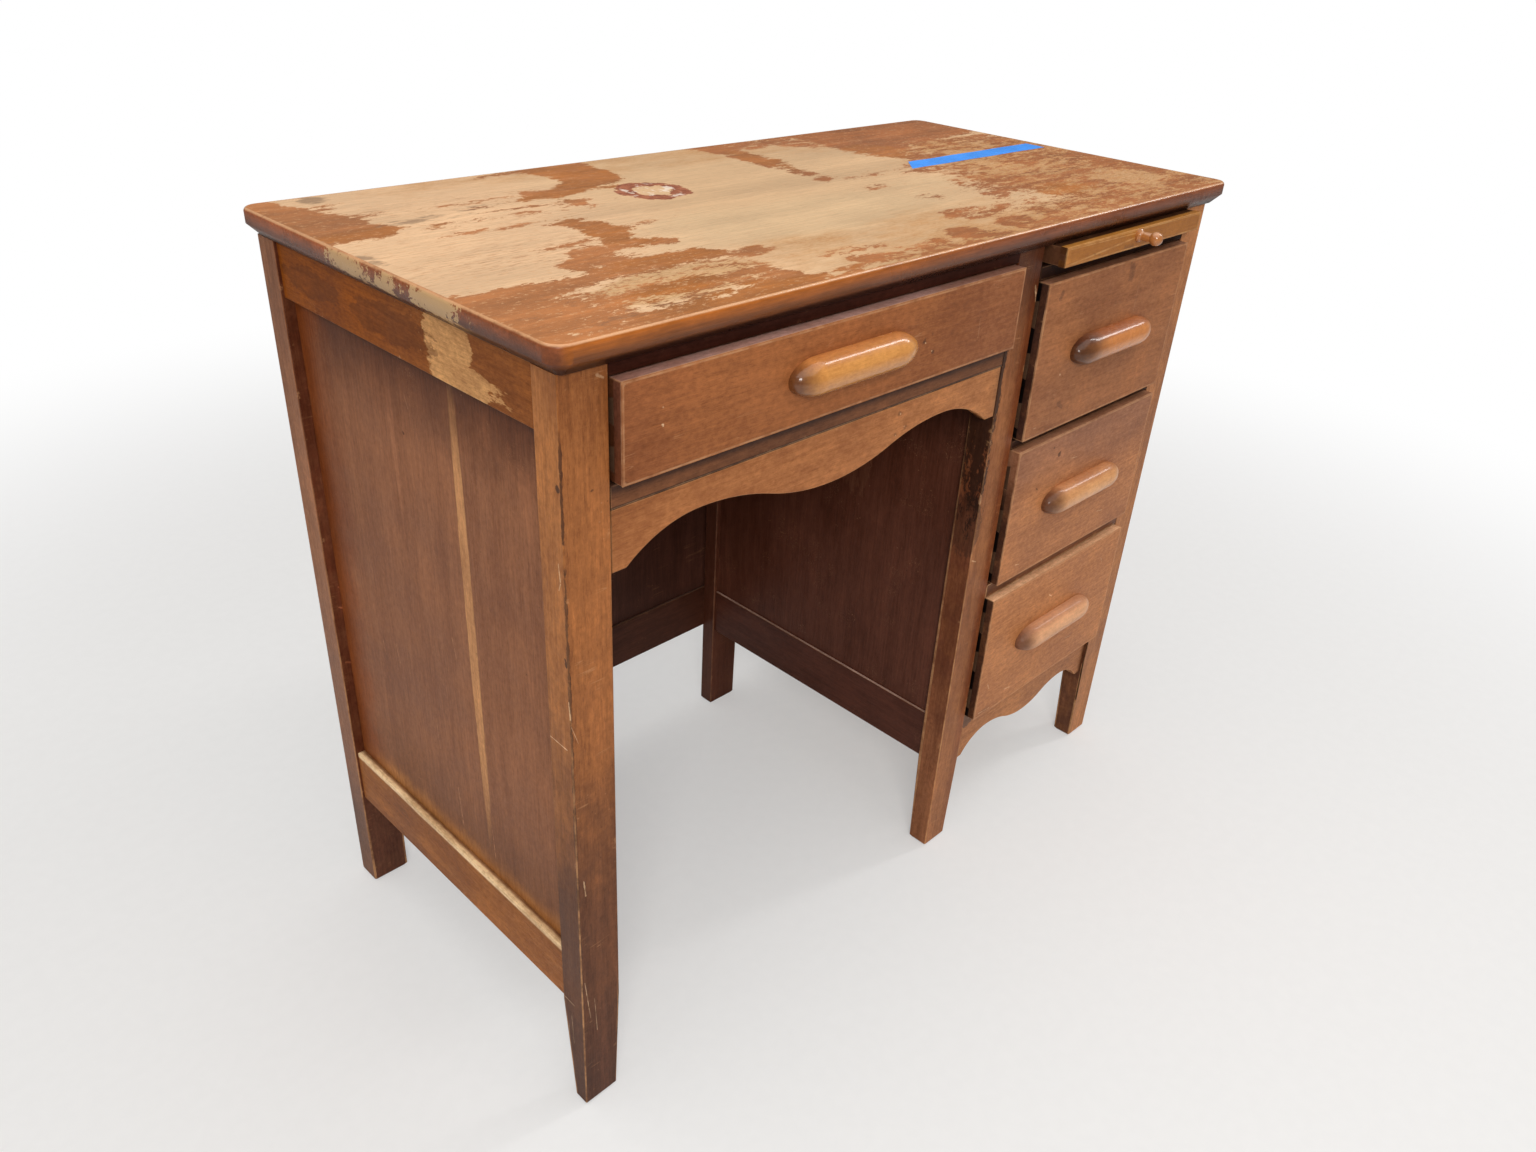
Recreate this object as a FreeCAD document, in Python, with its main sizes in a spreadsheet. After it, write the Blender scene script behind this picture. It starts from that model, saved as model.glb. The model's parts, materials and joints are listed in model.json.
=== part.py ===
import FreeCAD, Part
import math
import os

from FreeCAD import Placement, Rotation, Vector
import Sketcher

# Single pedestal teacher desk in solid wood: plank top on six posts, a kneehole on the
# left, three stacked drawers and a writing slide on the right, one wide drawer over the
# kneehole. X runs to the right of the sitter, Y runs from the sitter to the back, Z up.
# The origin is under the middle of the whole desk, on the floor.

doc = FreeCAD.newDocument("TeacherDesk")
sheet = doc.addObject("Spreadsheet::Sheet", "dims")

SIZES = [
    # whole desk
    ("desk_high", 762.0, "floor to writing surface"),
    ("top_wide", 922.0, "plank top, left to right"),
    ("top_deep", 445.0, "plank top, front to back"),
    ("top_thick", 24.0, "plank top"),
    ("top_corner", 15.0, "plan radius of the top's corners"),
    ("top_bevel", 11.0, "bevel under the nose"),
    ("top_round", 3.5, "round on the top's upper edge"),
    # posts
    ("post_wide", 42.0, "post, across the front"),
    ("post_deep", 29.0, "post, front to back"),
    ("back_post_wide", 45.0, "inner rear post, across"),
    ("back_post_deep", 21.5, "inner rear post, front to back"),
    ("left_over", 10.5, "top over the left posts"),
    ("right_over", 18.0, "top over the right posts"),
    ("front_over", 13.5, "top over the frame's face"),
    ("back_over", 6.5, "top over the rear posts"),
    ("ped_clear", 284.5, "pedestal, clear width between its posts"),
    ("foot_high", 126.0, "height where the front feet start to taper"),
    ("foot_taper_side", 5.5, "taper of a front foot across"),
    ("foot_taper_deep", 4.0, "taper of a front foot front to back"),
    ("foot_taper_left", 13.0, "same on the front left foot, which is cut slimmer"),
    ("back_taper", 0.6, "taper of the rear feet"),
    ("foot_round", 3.2, "round under the feet"),
    ("arris", 1.2, "small round on long edges"),
    # end frames
    ("rail_thick", 20.0, "side rails"),
    ("rail_back", 3.0, "side rails behind the posts' outer faces"),
    ("upper_rail_high", 49.5, "upper side rails"),
    ("lower_rail_low", 125.5, "lower rails above the floor"),
    ("lower_rail_high", 62.5, "lower rails"),
    ("panel_thick", 6.0, "end panels"),
    ("panel_back", 10.8, "end panels behind the posts' outer faces"),
    ("inner_panel_back", 6.0, "inner panel behind the inner posts' faces"),
    ("back_rail_thick", 12.0, "rails of the back"),
    ("back_panel_in", 3.5, "back panel behind the face of the back rails"),
    ("back_panel_thick", 4.0, "back panel"),
    ("groove_deep", 5.0, "panel grooves"),
    ("groove_play", 0.15, "play on each side of a panel in its groove"),
    ("tenon_long", 14.0, "tenons"),
    ("tenon_thick", 8.0, "tenons"),
    ("tenon_share", 0.2, "tenon shoulder as a share of a rail's height"),
    ("tenon_play", 0.1, "play around a tenon in its mortise"),
    # front frame
    ("front_rail_deep", 20.0, "front rails, front to back"),
    ("top_rail_high", 10.5, "rail over the wide drawer"),
    ("wide_open", 81.0, "opening of the wide drawer"),
    ("knee_rail_high", 19.5, "rail below the wide drawer"),
    ("slide_open", 20.8, "opening of the slide, right under the top"),
    ("slide_rail_high", 13.7, "rail below the slide"),
    ("one_open", 168.1, "opening of drawer 1"),
    ("rail_one_high", 9.4, "rail below drawer 1"),
    ("two_open", 163.8, "opening of drawer 2"),
    ("rail_two_high", 17.3, "rail below drawer 2"),
    ("three_open", 168.6, "opening of drawer 3"),
    # scalloped aprons
    ("apron_thick", 12.0, "both aprons"),
    ("knee_apron_high", 52.0, "kneehole apron at its ends"),
    ("knee_apron_gap", 1.5, "kneehole apron shrunk away from the inner post"),
    ("knee_crest_up", 26.5, "rise of its crests"),
    ("knee_drop_up", 1.0, "its middle drop above its ends"),
    ("knee_flat", 14.0, "flat length at each end"),
    ("knee_crest_in", 88.0, "crest in from the end"),
    ("ped_apron_high", 63.3, "pedestal apron at its ends"),
    ("ped_apron_back", 3.8, "pedestal apron behind the frame's face"),
    ("ped_crest_up", 23.5, "rise of its crests"),
    ("ped_drop_up", 5.5, "its middle drop above its ends"),
    ("ped_flat", 12.0, "flat length at each end"),
    ("ped_crest_in", 60.0, "crest in from the end"),
    # drawers
    ("ajar", 10.0, "how far the drawers stand open"),
    ("front_thick", 19.0, "drawer fronts"),
    ("front_edge", 1.5, "worn round on the fronts' edges"),
    ("gap_left", 4.3, "gap at the left of drawers 1 to 3"),
    ("gap_right", 1.2, "gap at the right of drawers 1 to 3"),
    ("wide_gap_left", 3.0, "gap at the wide drawer's left"),
    ("wide_gap_right", 0.8, "gap at the wide drawer's right"),
    ("gap_under", 1.5, "gap under each drawer's front"),
    ("gap_over", 1.5, "gap over each drawer's front"),
    ("side_thick", 10.0, "drawer sides"),
    ("box_back_thick", 10.0, "drawer backs"),
    ("box_gap", 0.5, "air between a closed drawer and the inner rear post"),
    ("back_in", 12.0, "drawer backs in from the sides' rear ends"),
    ("bottom_thick", 4.0, "drawer bottoms"),
    ("bottom_up", 9.0, "drawer bottoms above the sides' lower edge"),
    ("bottom_set", 5.0, "drawer bottoms into their grooves"),
    ("tail_long", 10.0, "dovetails into the fronts"),
    ("tail_slope", 2.0, "flare of a dovetail, each side"),
    ("tail_share", 0.45, "dovetail's width at its root as a share of the pitch"),
    ("tail_play", 0.08, "play around a dovetail"),
    ("side_drop", 6.0, "sides below the fronts' upper edge"),
    # pulls
    ("pull_long", 152.0, "pulls, end to end"),
    ("pull_radius", 16.0, "half height of a pull"),
    ("pull_nose", 28.0, "length of a pull's tapering end"),
    ("pull_tip", 11.0, "radius of a pull's tip"),
    ("pull_axis_out", 2.0, "pull's axis in front of its flat back"),
    # writing slide
    ("slide_out", 4.5, "slide's face in front of the top's edge"),
    ("slide_gap_under", 0.8, "gap under the slide"),
    ("slide_gap_over", 0.7, "gap over the slide"),
    ("slide_left_gap", 12.0, "gap at the slide's left"),
    ("slide_right_gap", 4.0, "gap at the slide's right"),
    ("strip_thick", 8.0, "slide's front strip"),
    ("board_thick", 18.0, "slide's board"),
    ("board_short", 51.5, "slide's board short of the inner rear post"),
    ("strip_tongue", 6.0, "tongue of the board in the strip"),
    ("tongue_thick", 6.0, "same tongue"),
    ("knob_base", 6.6, "radius of the knob's base ring"),
    ("knob_ring", 3.2, "thickness of the base ring"),
    ("knob_neck", 4.6, "radius of the neck"),
    ("knob_ball", 6.9, "radius of the ball"),
    ("knob_long", 26.6, "knob out from the strip"),
    ("knob_pin", 3.0, "radius of the knob's pin"),
    ("pin_long", 7.0, "pin into the strip"),
    ("knob_up", 3.4, "knob above the middle of the strip"),
    ("knob_waist", 4.0, "length of the waist behind the ball"),
    ("knob_cove", 3.6, "radius of the waist's hollow"),
    ("knob_lip", 0.8, "bevel on the base ring"),
    # inside
    ("runner_floor", 10.0, "runner under a drawer side, thickness"),
    ("runner_wide", 17.0, "runner beyond the guide"),
    ("runner_gap", 0.4, "air between a drawer and its runner"),
    ("guide_gap", 0.9, "air between a drawer and its guide"),
    ("guide_high", 16.0, "guide above the runner's face"),
    ("block_leg", 18.0, "glue blocks under the top"),
    ("block_long", 60.0, "glue blocks, length"),
]


class Size:
    """A length that carries its value and the sheet expression it comes from."""

    def __init__(self, value, text):
        self.value = value
        self.text = text

    def _join(self, other, sign, value):
        return Size(value, "(%s %s %s)" % (self.text, sign, other.text))

    def __add__(self, other):
        other = size(other)
        return self._join(other, "+", self.value + other.value)

    def __sub__(self, other):
        other = size(other)
        return self._join(other, "-", self.value - other.value)

    def __mul__(self, other):
        other = size(other)
        return self._join(other, "*", self.value * other.value)

    def __truediv__(self, other):
        other = size(other)
        return self._join(other, "/", self.value / other.value)

    def __neg__(self):
        return Size(-self.value, "(0 - %s)" % self.text)

    def root(self):
        return Size(math.sqrt(self.value), "sqrt(%s)" % self.text)


def size(value):
    if isinstance(value, Size):
        return value
    return Size(float(value), repr(value))


for row, (alias, value, remark) in enumerate(SIZES, start=1):
    sheet.set("A%d" % row, alias)
    sheet.set("B%d" % row, str(value))
    sheet.set("C%d" % row, remark)
    sheet.setAlias("B%d" % row, alias)
doc.recompute()


class Dims:
    """The sheet's cells by name."""


d = Dims()
for alias, value, remark in SIZES:
    setattr(d, alias, Size(value, "dims." + alias))

ZERO = size(0)
parts = []


# ---------------------------------------------------------------- helpers

# The desk is laid out from the top's front left corner; this is where the origin lies.
knob_reach = d.slide_out + d.knob_long
origin_x = d.top_wide / 2
origin_y = (d.top_deep - knob_reach) / 2
frame_top = d.desk_high - d.top_thick


def place(obj, x, y, z, rotation=None):
    at = (size(x) - origin_x, size(y) - origin_y, size(z))
    base = Vector(at[0].value, at[1].value, at[2].value)
    obj.Placement = Placement(base, rotation or Rotation())
    for axis, length in zip("xyz", at):
        obj.setExpression("Placement.Base." + axis, length.text)


def new_body(label, x, y, z, rotation=None):
    body = doc.addObject("PartDesign::Body", label)
    body.Label = label
    place(body, x, y, z, rotation)
    parts.append(body)
    return body


def new_sketch(body, name, role, offset=ZERO):
    sk = body.newObject("Sketcher::SketchObject", name)
    plane = [f for f in body.Origin.OriginFeatures if f.Role == role][0]
    sk.AttachmentSupport = [(plane, "")]
    sk.MapMode = "FlatFace"
    if offset is not ZERO:
        sk.AttachmentOffset = Placement(Vector(0, 0, offset.value), Rotation())
        sk.setExpression("AttachmentOffset.Base.z", offset.text)
    return sk


def bind(sk, kind, refs, length):
    index = sk.addConstraint(Sketcher.Constraint(kind, *refs, length.value))
    sk.setExpression("Constraints[%d]" % index, length.text)


def fix_point(sk, geo, pos, u, v):
    if u.text == "0":
        sk.addConstraint(Sketcher.Constraint("PointOnObject", geo, pos, -2))
    else:
        bind(sk, "DistanceX", (-1, 1, geo, pos), u)
    if v.text == "0":
        sk.addConstraint(Sketcher.Constraint("PointOnObject", geo, pos, -1))
    else:
        bind(sk, "DistanceY", (-1, 1, geo, pos), v)


def arc_between(p, q, radius, side):
    # Arc from p to q whose centre lies left (+1) or right (-1) of the chord.
    chord = q - p
    half = chord.Length / 2
    normal = Vector(-chord.y, chord.x, 0).normalize() * side
    centre = (p + q) * 0.5 + normal * math.sqrt(max(radius * radius - half * half, 0))
    first, last = (p, q) if side > 0 else (q, p)
    start = math.atan2(first.y - centre.y, first.x - centre.x)
    end = math.atan2(last.y - centre.y, last.x - centre.x)
    if end < start:
        end += 2 * math.pi
    return Part.ArcOfCircle(Part.Circle(centre, Vector(0, 0, 1), radius), start, end)


def profile(sk, points, arcs=None):
    """Closed outline through points; arcs maps a side's index to (radius, side)."""
    arcs = arcs or {}
    flat = [Vector(u.value, v.value, 0) for u, v in points]
    ends = []
    for k, p in enumerate(flat):
        q = flat[(k + 1) % len(flat)]
        if k in arcs:
            radius, side = arcs[k]
            geo = sk.addGeometry(arc_between(p, q, radius.value, side), False)
            ends.append((geo, 1, 2) if side > 0 else (geo, 2, 1))
        else:
            geo = sk.addGeometry(Part.LineSegment(p, q), False)
            ends.append((geo, 1, 2))
    for k, (geo, first, last) in enumerate(ends):
        after = ends[(k + 1) % len(ends)]
        sk.addConstraint(Sketcher.Constraint("Coincident", geo, last, after[0], after[1]))
    for k, (geo, first, last) in enumerate(ends):
        fix_point(sk, geo, first, points[k][0], points[k][1])
        if k in arcs:
            bind(sk, "Radius", (geo,), arcs[k][0])


def rectangle(sk, u, v, wide, high):
    profile(sk, [(u, v), (u + wide, v), (u + wide, v + high), (u, v + high)])


# Each plane's sketch axes, and whether its normal runs against the desk's axis.
ROLE = {"x": ("YZ_Plane", False), "y": ("XZ_Plane", True), "z": ("XY_Plane", False)}


def extrude(body, kind, name, across, draw, start, length):
    """Pad or pocket a drawing along a desk axis, from start towards the axis' + end."""
    role, against = ROLE[across]
    offset = start
    if start is not ZERO and against:
        offset = -start
    sk = new_sketch(body, name + "_outline", role, offset)
    draw(sk)
    feature = body.newObject("PartDesign::" + kind, name)
    feature.Profile = sk
    feature.Length = length.value
    feature.setExpression("Length", length.text)
    # A pocket cuts against its sketch's normal, a pad grows along it.
    feature.Reversed = against if kind == "Pad" else not against
    sk.Visibility = False
    return feature


def pad(body, name, across, draw, start, length):
    return extrude(body, "Pad", name, across, draw, start, length)


def pocket(body, name, across, draw, start, length):
    doc.recompute()
    before = body.Shape.Volume
    feature = extrude(body, "Pocket", name, across, draw, start, length)
    doc.recompute()
    if before - body.Shape.Volume < 1e-3:
        raise RuntimeError("pocket cuts nothing: %s %s" % (body.Label, name))
    return feature


def block(body, name, x, y, z, wide, deep, high):
    return pad(body, name, "z", lambda sk: rectangle(sk, x, y, wide, deep), z, high)


def cut_block(body, name, x, y, z, wide, deep, high):
    return pocket(body, name, "z", lambda sk: rectangle(sk, x, y, wide, deep), z, high)


def round_edges(body, name, radius, wanted, kind="Fillet"):
    doc.recompute()
    base = body.Tip
    names = []
    for k, edge in enumerate(base.Shape.Edges, start=1):
        if wanted(edge.BoundBox, edge):
            names.append("Edge%d" % k)
    feature = body.newObject("PartDesign::" + kind, name)
    feature.Base = (base, names)
    if kind == "Fillet":
        feature.Radius = radius.value
        feature.setExpression("Radius", radius.text)
    doc.recompute()
    return feature


def spans(box, axis):
    return {"x": box.XLength, "y": box.YLength, "z": box.ZLength}[axis]


def runs_along(axis, least):
    others = [a for a in "xyz" if a != axis]

    def wanted(box, edge):
        straight = all(spans(box, a) < 0.01 for a in others)
        return straight and spans(box, axis) > least

    return wanted


def rounded(sk, u, v, wide, high, radius):
    left, right = u + radius, u + wide - radius
    low, top = v + radius, v + high - radius
    points = [(left, v), (right, v), (u + wide, low), (u + wide, top)]
    points += [(right, v + high), (left, v + high), (u, top), (u, low)]
    profile(sk, points, {k: (radius, 1) for k in (1, 3, 5, 7)})


# ---------------------------------------------------------------- plank top

def make_top():
    body = new_body("top", ZERO, ZERO, frame_top)

    def outline(sk):
        rounded(sk, ZERO, ZERO, d.top_wide, d.top_deep, d.top_corner)

    pad(body, "Plank", "z", outline, ZERO, d.top_thick)
    bevel = round_edges(body, "UnderBevel", d.top_bevel, lambda box, e: box.ZMax < 0.01, "Chamfer")
    bevel.Size = d.top_bevel.value
    bevel.setExpression("Size", d.top_bevel.text)
    upper = d.top_thick.value - 0.01
    round_edges(body, "NoseRound", d.top_round, lambda box, e: box.ZMin > upper)


# ---------------------------------------------------------------- frame layout

left_in = d.left_over + d.post_wide
right_out = d.top_wide - d.right_over
right_at = right_out - d.post_wide
inner_right = right_at - d.ped_clear
inner_at = inner_right - d.post_wide
frame_back = d.top_deep - d.back_over
back_at = frame_back - d.post_deep
front_back = d.front_over + d.post_deep
back_face = frame_back - d.back_rail_thick
inner_back_at = back_face - d.back_post_deep
upper_low = frame_top - d.upper_rail_high

# Heights, counted down from the top: opening, rail, opening, rail and so on.
top_rail_low = frame_top - d.top_rail_high
knee_rail_top = top_rail_low - d.wide_open
knee_rail_low = knee_rail_top - d.knee_rail_high
knee_end_low = knee_rail_low - d.knee_apron_high
slide_rail_top = frame_top - d.slide_open
slide_rail_low = slide_rail_top - d.slide_rail_high
rail_one_top = slide_rail_low - d.one_open
rail_one_low = rail_one_top - d.rail_one_high
rail_two_top = rail_one_low - d.two_open
rail_two_low = rail_two_top - d.rail_two_high
ped_apron_top = rail_two_low - d.three_open
ped_end_low = ped_apron_top - d.ped_apron_high

lower_top = d.lower_rail_low + d.lower_rail_high
groove_wide = d.panel_thick + d.groove_play * 2
back_groove = d.back_panel_thick + d.groove_play * 2

# Each rail: where it starts, how far it runs, and the two posts that take its tenons.
rails = {}


def add_rail(label, along, x, y, z, long, thick, high, posts):
    rails[label] = {
        "along": along, "at": (x, y, z), "long": long,
        "thick": thick, "high": high, "posts": posts,
    }


def side_rails(name, face, posts, back_y):
    run = back_y - front_back
    add_rail(name + "_upper_rail", "y", face, front_back, upper_low,
             run, d.rail_thick, d.upper_rail_high, posts)
    add_rail(name + "_lower_rail", "y", face, front_back, d.lower_rail_low,
             run, d.rail_thick, d.lower_rail_high, posts)


left_face = d.left_over + d.rail_back
inner_face = inner_at + d.rail_back
right_face = right_out - d.rail_back - d.rail_thick
side_rails("left", left_face, ("post_front_left", "post_rear_left"), back_at)
side_rails("inner", inner_face, ("post_inner_front", "post_inner_rear"), inner_back_at)
side_rails("right", right_face, ("post_front_right", "post_rear_right"), back_at)

back_run = right_at - left_in
for name, low, high in (("back_upper_rail", upper_low, d.upper_rail_high),
                        ("back_lower_rail", d.lower_rail_low, d.lower_rail_high)):
    add_rail(name, "x", left_in, back_face, low, back_run, d.back_rail_thick, high,
             ("post_rear_left", "post_rear_right"))

knee_run = inner_at - left_in
knee_posts = ("post_front_left", "post_inner_front")
ped_posts = ("post_inner_front", "post_front_right")
for name, start, run, low, high, posts in (
    ("front_top_rail", left_in, knee_run, top_rail_low, d.top_rail_high, knee_posts),
    ("knee_rail", left_in, knee_run, knee_rail_low, d.knee_rail_high, knee_posts),
    ("slide_rail", inner_right, d.ped_clear, slide_rail_low, d.slide_rail_high, ped_posts),
    ("drawer_rail_one", inner_right, d.ped_clear, rail_one_low, d.rail_one_high, ped_posts),
    ("drawer_rail_two", inner_right, d.ped_clear, rail_two_low, d.rail_two_high, ped_posts),
):
    add_rail(name, "x", start, d.front_over, low, run, d.front_rail_deep, high, posts)


def tenon_box(rail, end, play):
    """Corner and size of a rail's tenon at one end, in desk coordinates, grown by play."""
    x, y, z = rail["at"]
    shoulder = rail["high"] * d.tenon_share
    inset = (rail["thick"] - d.tenon_thick) / 2
    start = -d.tenon_long if end == 0 else rail["long"]
    low = z + shoulder - play
    high = rail["high"] - shoulder * 2 + play * 2
    thick = d.tenon_thick + play * 2
    if rail["along"] == "x":
        return (x + start, y + inset - play, low), (d.tenon_long, thick, high)
    return (x + inset - play, y + start, low), (thick, d.tenon_long, high)


# ---------------------------------------------------------------- posts

posts = {
    # label: corner x, corner y, width, depth, taper across, side it is on, taper in depth
    "post_front_left": (d.left_over, d.front_over, d.post_wide, d.post_deep,
                        d.foot_taper_side, "right", d.foot_taper_left),
    "post_inner_front": (inner_at, d.front_over, d.post_wide, d.post_deep,
                         d.foot_taper_side, "right", d.foot_taper_deep),
    "post_front_right": (right_at, d.front_over, d.post_wide, d.post_deep,
                         d.foot_taper_side, "left", d.foot_taper_deep),
    "post_rear_left": (d.left_over, back_at, d.post_wide, d.post_deep,
                       d.back_taper, "right", d.back_taper),
    "post_inner_rear": (inner_at, inner_back_at, d.back_post_wide, d.back_post_deep,
                        d.back_taper, "right", d.back_taper),
    "post_rear_right": (right_at, back_at, d.post_wide, d.post_deep,
                        d.back_taper, "left", d.back_taper),
}


def loft(body, name, low, high):
    feature = body.newObject("PartDesign::AdditiveLoft", name)
    feature.Profile = low
    feature.Sections = [high]
    feature.Ruled = True
    for sk in (low, high):
        sk.Visibility = False
    return feature


def make_post(label):
    x, y, wide, deep, across, across_side, inward = posts[label]
    body = new_body(label, x, y, ZERO)
    taper_x = across if across_side == "left" else ZERO
    taper_y = inward if "rear" in label else ZERO
    foot_wide = wide - across
    foot_deep = deep - inward

    def section(name, z, u, v, across_size, deep_size):
        sk = new_sketch(body, name, "XY_Plane", z)
        rounded(sk, u, v, across_size, deep_size, d.arris)
        return sk

    edge = d.foot_round
    sole = section("Sole", ZERO, taper_x + edge * 0.7, taper_y + edge * 0.7,
                   foot_wide - edge * 1.4, foot_deep - edge * 1.4)
    ankle = section("Ankle", edge, taper_x, taper_y, foot_wide, foot_deep)
    loft(body, "FootEdge", sole, ankle)
    knee = section("Knee", d.foot_high, ZERO, ZERO, wide, deep)
    loft(body, "FootTaper", ankle, knee)

    def shaft(sk):
        rounded(sk, ZERO, ZERO, wide, deep, d.arris)

    pad(body, "Shaft", "z", shaft, d.foot_high, frame_top - d.foot_high)
    for name, rail in rails.items():
        if label in rail["posts"]:
            corner, box = tenon_box(rail, rail["posts"].index(label), d.tenon_play)
            cut_block(body, "Mortise_" + name, corner[0] - x, corner[1] - y, corner[2], *box)
    panel_grooves(body, label, x, y)


def panel_grooves(body, label, x, y):
    """Grooves down a post for the end panel and the back panel that meet it."""
    low = lower_top - d.groove_deep
    high = upper_low + d.groove_deep - low
    for panel, spec in side_panels.items():
        if label in spec["posts"]:
            front = label == spec["posts"][0]
            at_y = front_back - d.groove_deep if front else spec["back"]
            cut_block(body, "Groove_" + panel, spec["x"] - d.groove_play - x, at_y - y, low,
                      groove_wide, d.groove_deep, high)
    if label in ("post_rear_left", "post_rear_right"):
        at_x = left_in - d.groove_deep if label == "post_rear_left" else right_at
        cut_block(body, "Groove_back", at_x - x, back_panel_at - d.groove_play - y, low,
                  d.groove_deep, back_groove, high)


side_panels = {
    "left_panel": {"x": d.left_over + d.panel_back, "back": back_at,
                   "posts": ("post_front_left", "post_rear_left")},
    "inner_panel": {"x": inner_at + d.inner_panel_back, "back": inner_back_at,
                    "posts": ("post_inner_front", "post_inner_rear")},
    "right_panel": {"x": right_out - d.panel_back - d.panel_thick, "back": back_at,
                    "posts": ("post_front_right", "post_rear_right")},
}
back_panel_at = back_face + d.back_panel_in


# ---------------------------------------------------------------- rails and panels

def make_rail(label, rail):
    x, y, z = rail["at"]
    body = new_body(label, x, y, z)
    if rail["along"] == "x":
        wide, deep = rail["long"], rail["thick"]
    else:
        wide, deep = rail["thick"], rail["long"]
    block(body, "Board", ZERO, ZERO, ZERO, wide, deep, rail["high"])
    round_edges(body, "Arris", d.arris, runs_along(rail["along"], rail["long"].value / 2))
    first, box = tenon_box(rail, 0, ZERO)
    last, box = tenon_box(rail, 1, ZERO)
    across = d.tenon_long * 2 + rail["long"]
    tongue = (across, box[1]) if rail["along"] == "x" else (box[0], across)
    block(body, "Tenons", first[0] - x, first[1] - y, first[2] - z, tongue[0], tongue[1], box[2])
    for panel, spec in side_panels.items():
        if rail["posts"] == spec["posts"]:
            at = ZERO if "upper" in label else rail["high"] - d.groove_deep
            cut_block(body, "PanelGroove", spec["x"] - d.groove_play - x, ZERO, at,
                      groove_wide, rail["long"], d.groove_deep)
    if label.startswith("back"):
        at = ZERO if "upper" in label else rail["high"] - d.groove_deep
        cut_block(body, "PanelGroove", ZERO, d.back_panel_in - d.groove_play, at,
                  rail["long"], back_groove, d.groove_deep)


def make_panels():
    into = d.groove_deep - d.groove_play * 2
    low = lower_top - into
    high = upper_low + into - low
    for label, spec in side_panels.items():
        start = front_back - into
        body = new_body(label, spec["x"], start, low)
        block(body, "Sheet", ZERO, ZERO, ZERO, d.panel_thick, spec["back"] + into - start, high)
    start = left_in - into
    body = new_body("back_panel", start, back_panel_at, low)
    block(body, "Sheet", ZERO, ZERO, ZERO, right_at + into - start, d.back_panel_thick, high)


# ---------------------------------------------------------------- scalloped aprons

def scallop(run, top, flat, crest_in, crest_up, drop_up):
    """Apron outline: flat ends, tight coves, two crests and a round drop between them."""
    middle = run / 2
    cove_in = crest_in - flat
    cove = (cove_in * cove_in + crest_up * crest_up) / (crest_up * 2)
    fall = crest_up - drop_up
    reach = (middle - crest_in) / 2
    wave = (reach * reach + fall * fall / 4) / fall
    turn = crest_up - fall / 2
    points = [
        (ZERO, ZERO),
        (flat, ZERO),
        (crest_in, crest_up),
        (crest_in + reach, turn),
        (middle, drop_up),
        (run - crest_in - reach, turn),
        (run - crest_in, crest_up),
        (run - flat, ZERO),
        (run, ZERO),
        (run, top),
        (ZERO, top),
    ]
    arcs = {1: (cove, -1), 2: (wave, -1), 3: (wave, 1), 4: (wave, 1), 5: (wave, -1), 6: (cove, -1)}
    return points, arcs


def make_apron(label, start, run, face, low, top, shape):
    body = new_body(label, start, face, low)
    points, arcs = scallop(run, top - low, *shape)
    pad(body, "Scallop", "y", lambda sk: profile(sk, points, arcs), ZERO, d.apron_thick)


def make_aprons():
    knee = (d.knee_flat, d.knee_crest_in, d.knee_crest_up, d.knee_drop_up)
    make_apron("knee_apron", left_in, knee_run - d.knee_apron_gap, d.front_over,
               knee_end_low, knee_rail_low, knee)
    ped = (d.ped_flat, d.ped_crest_in, d.ped_crest_up, d.ped_drop_up)
    make_apron("pedestal_apron", inner_right, d.ped_clear, d.front_over + d.ped_apron_back,
               ped_end_low, ped_apron_top, ped)


# ---------------------------------------------------------------- runners

def pair(label, first, second):
    both = doc.addObject("Part::Compound", label)
    both.Label = label
    both.Links = [first, second]
    parts.append(both)


def runner(label, wall, side, toward, face, guide_top, back_y):
    """L-shaped bar: a floor under a drawer's side and a guide beside it."""
    body = doc.addObject("PartDesign::Body", label)
    body.Label = label
    place(body, ZERO, front_back, ZERO)
    floor = face - d.runner_floor
    if toward > 0:
        lip = side - d.guide_gap
        points = [(wall, floor), (lip + d.runner_wide, floor), (lip + d.runner_wide, face),
                  (lip, face), (lip, guide_top), (wall, guide_top)]
    else:
        lip = side + d.guide_gap
        points = [(lip - d.runner_wide, floor), (wall, floor), (wall, guide_top),
                  (lip, guide_top), (lip, face), (lip - d.runner_wide, face)]
    pad(body, "Bar", "y", lambda sk: profile(sk, points), ZERO, back_y - front_back)
    return body


ped_left_wall = inner_face + d.rail_thick
ped_right_wall = right_face
knee_left_wall = left_face + d.rail_thick
knee_right_wall = inner_at + d.inner_panel_back


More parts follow.
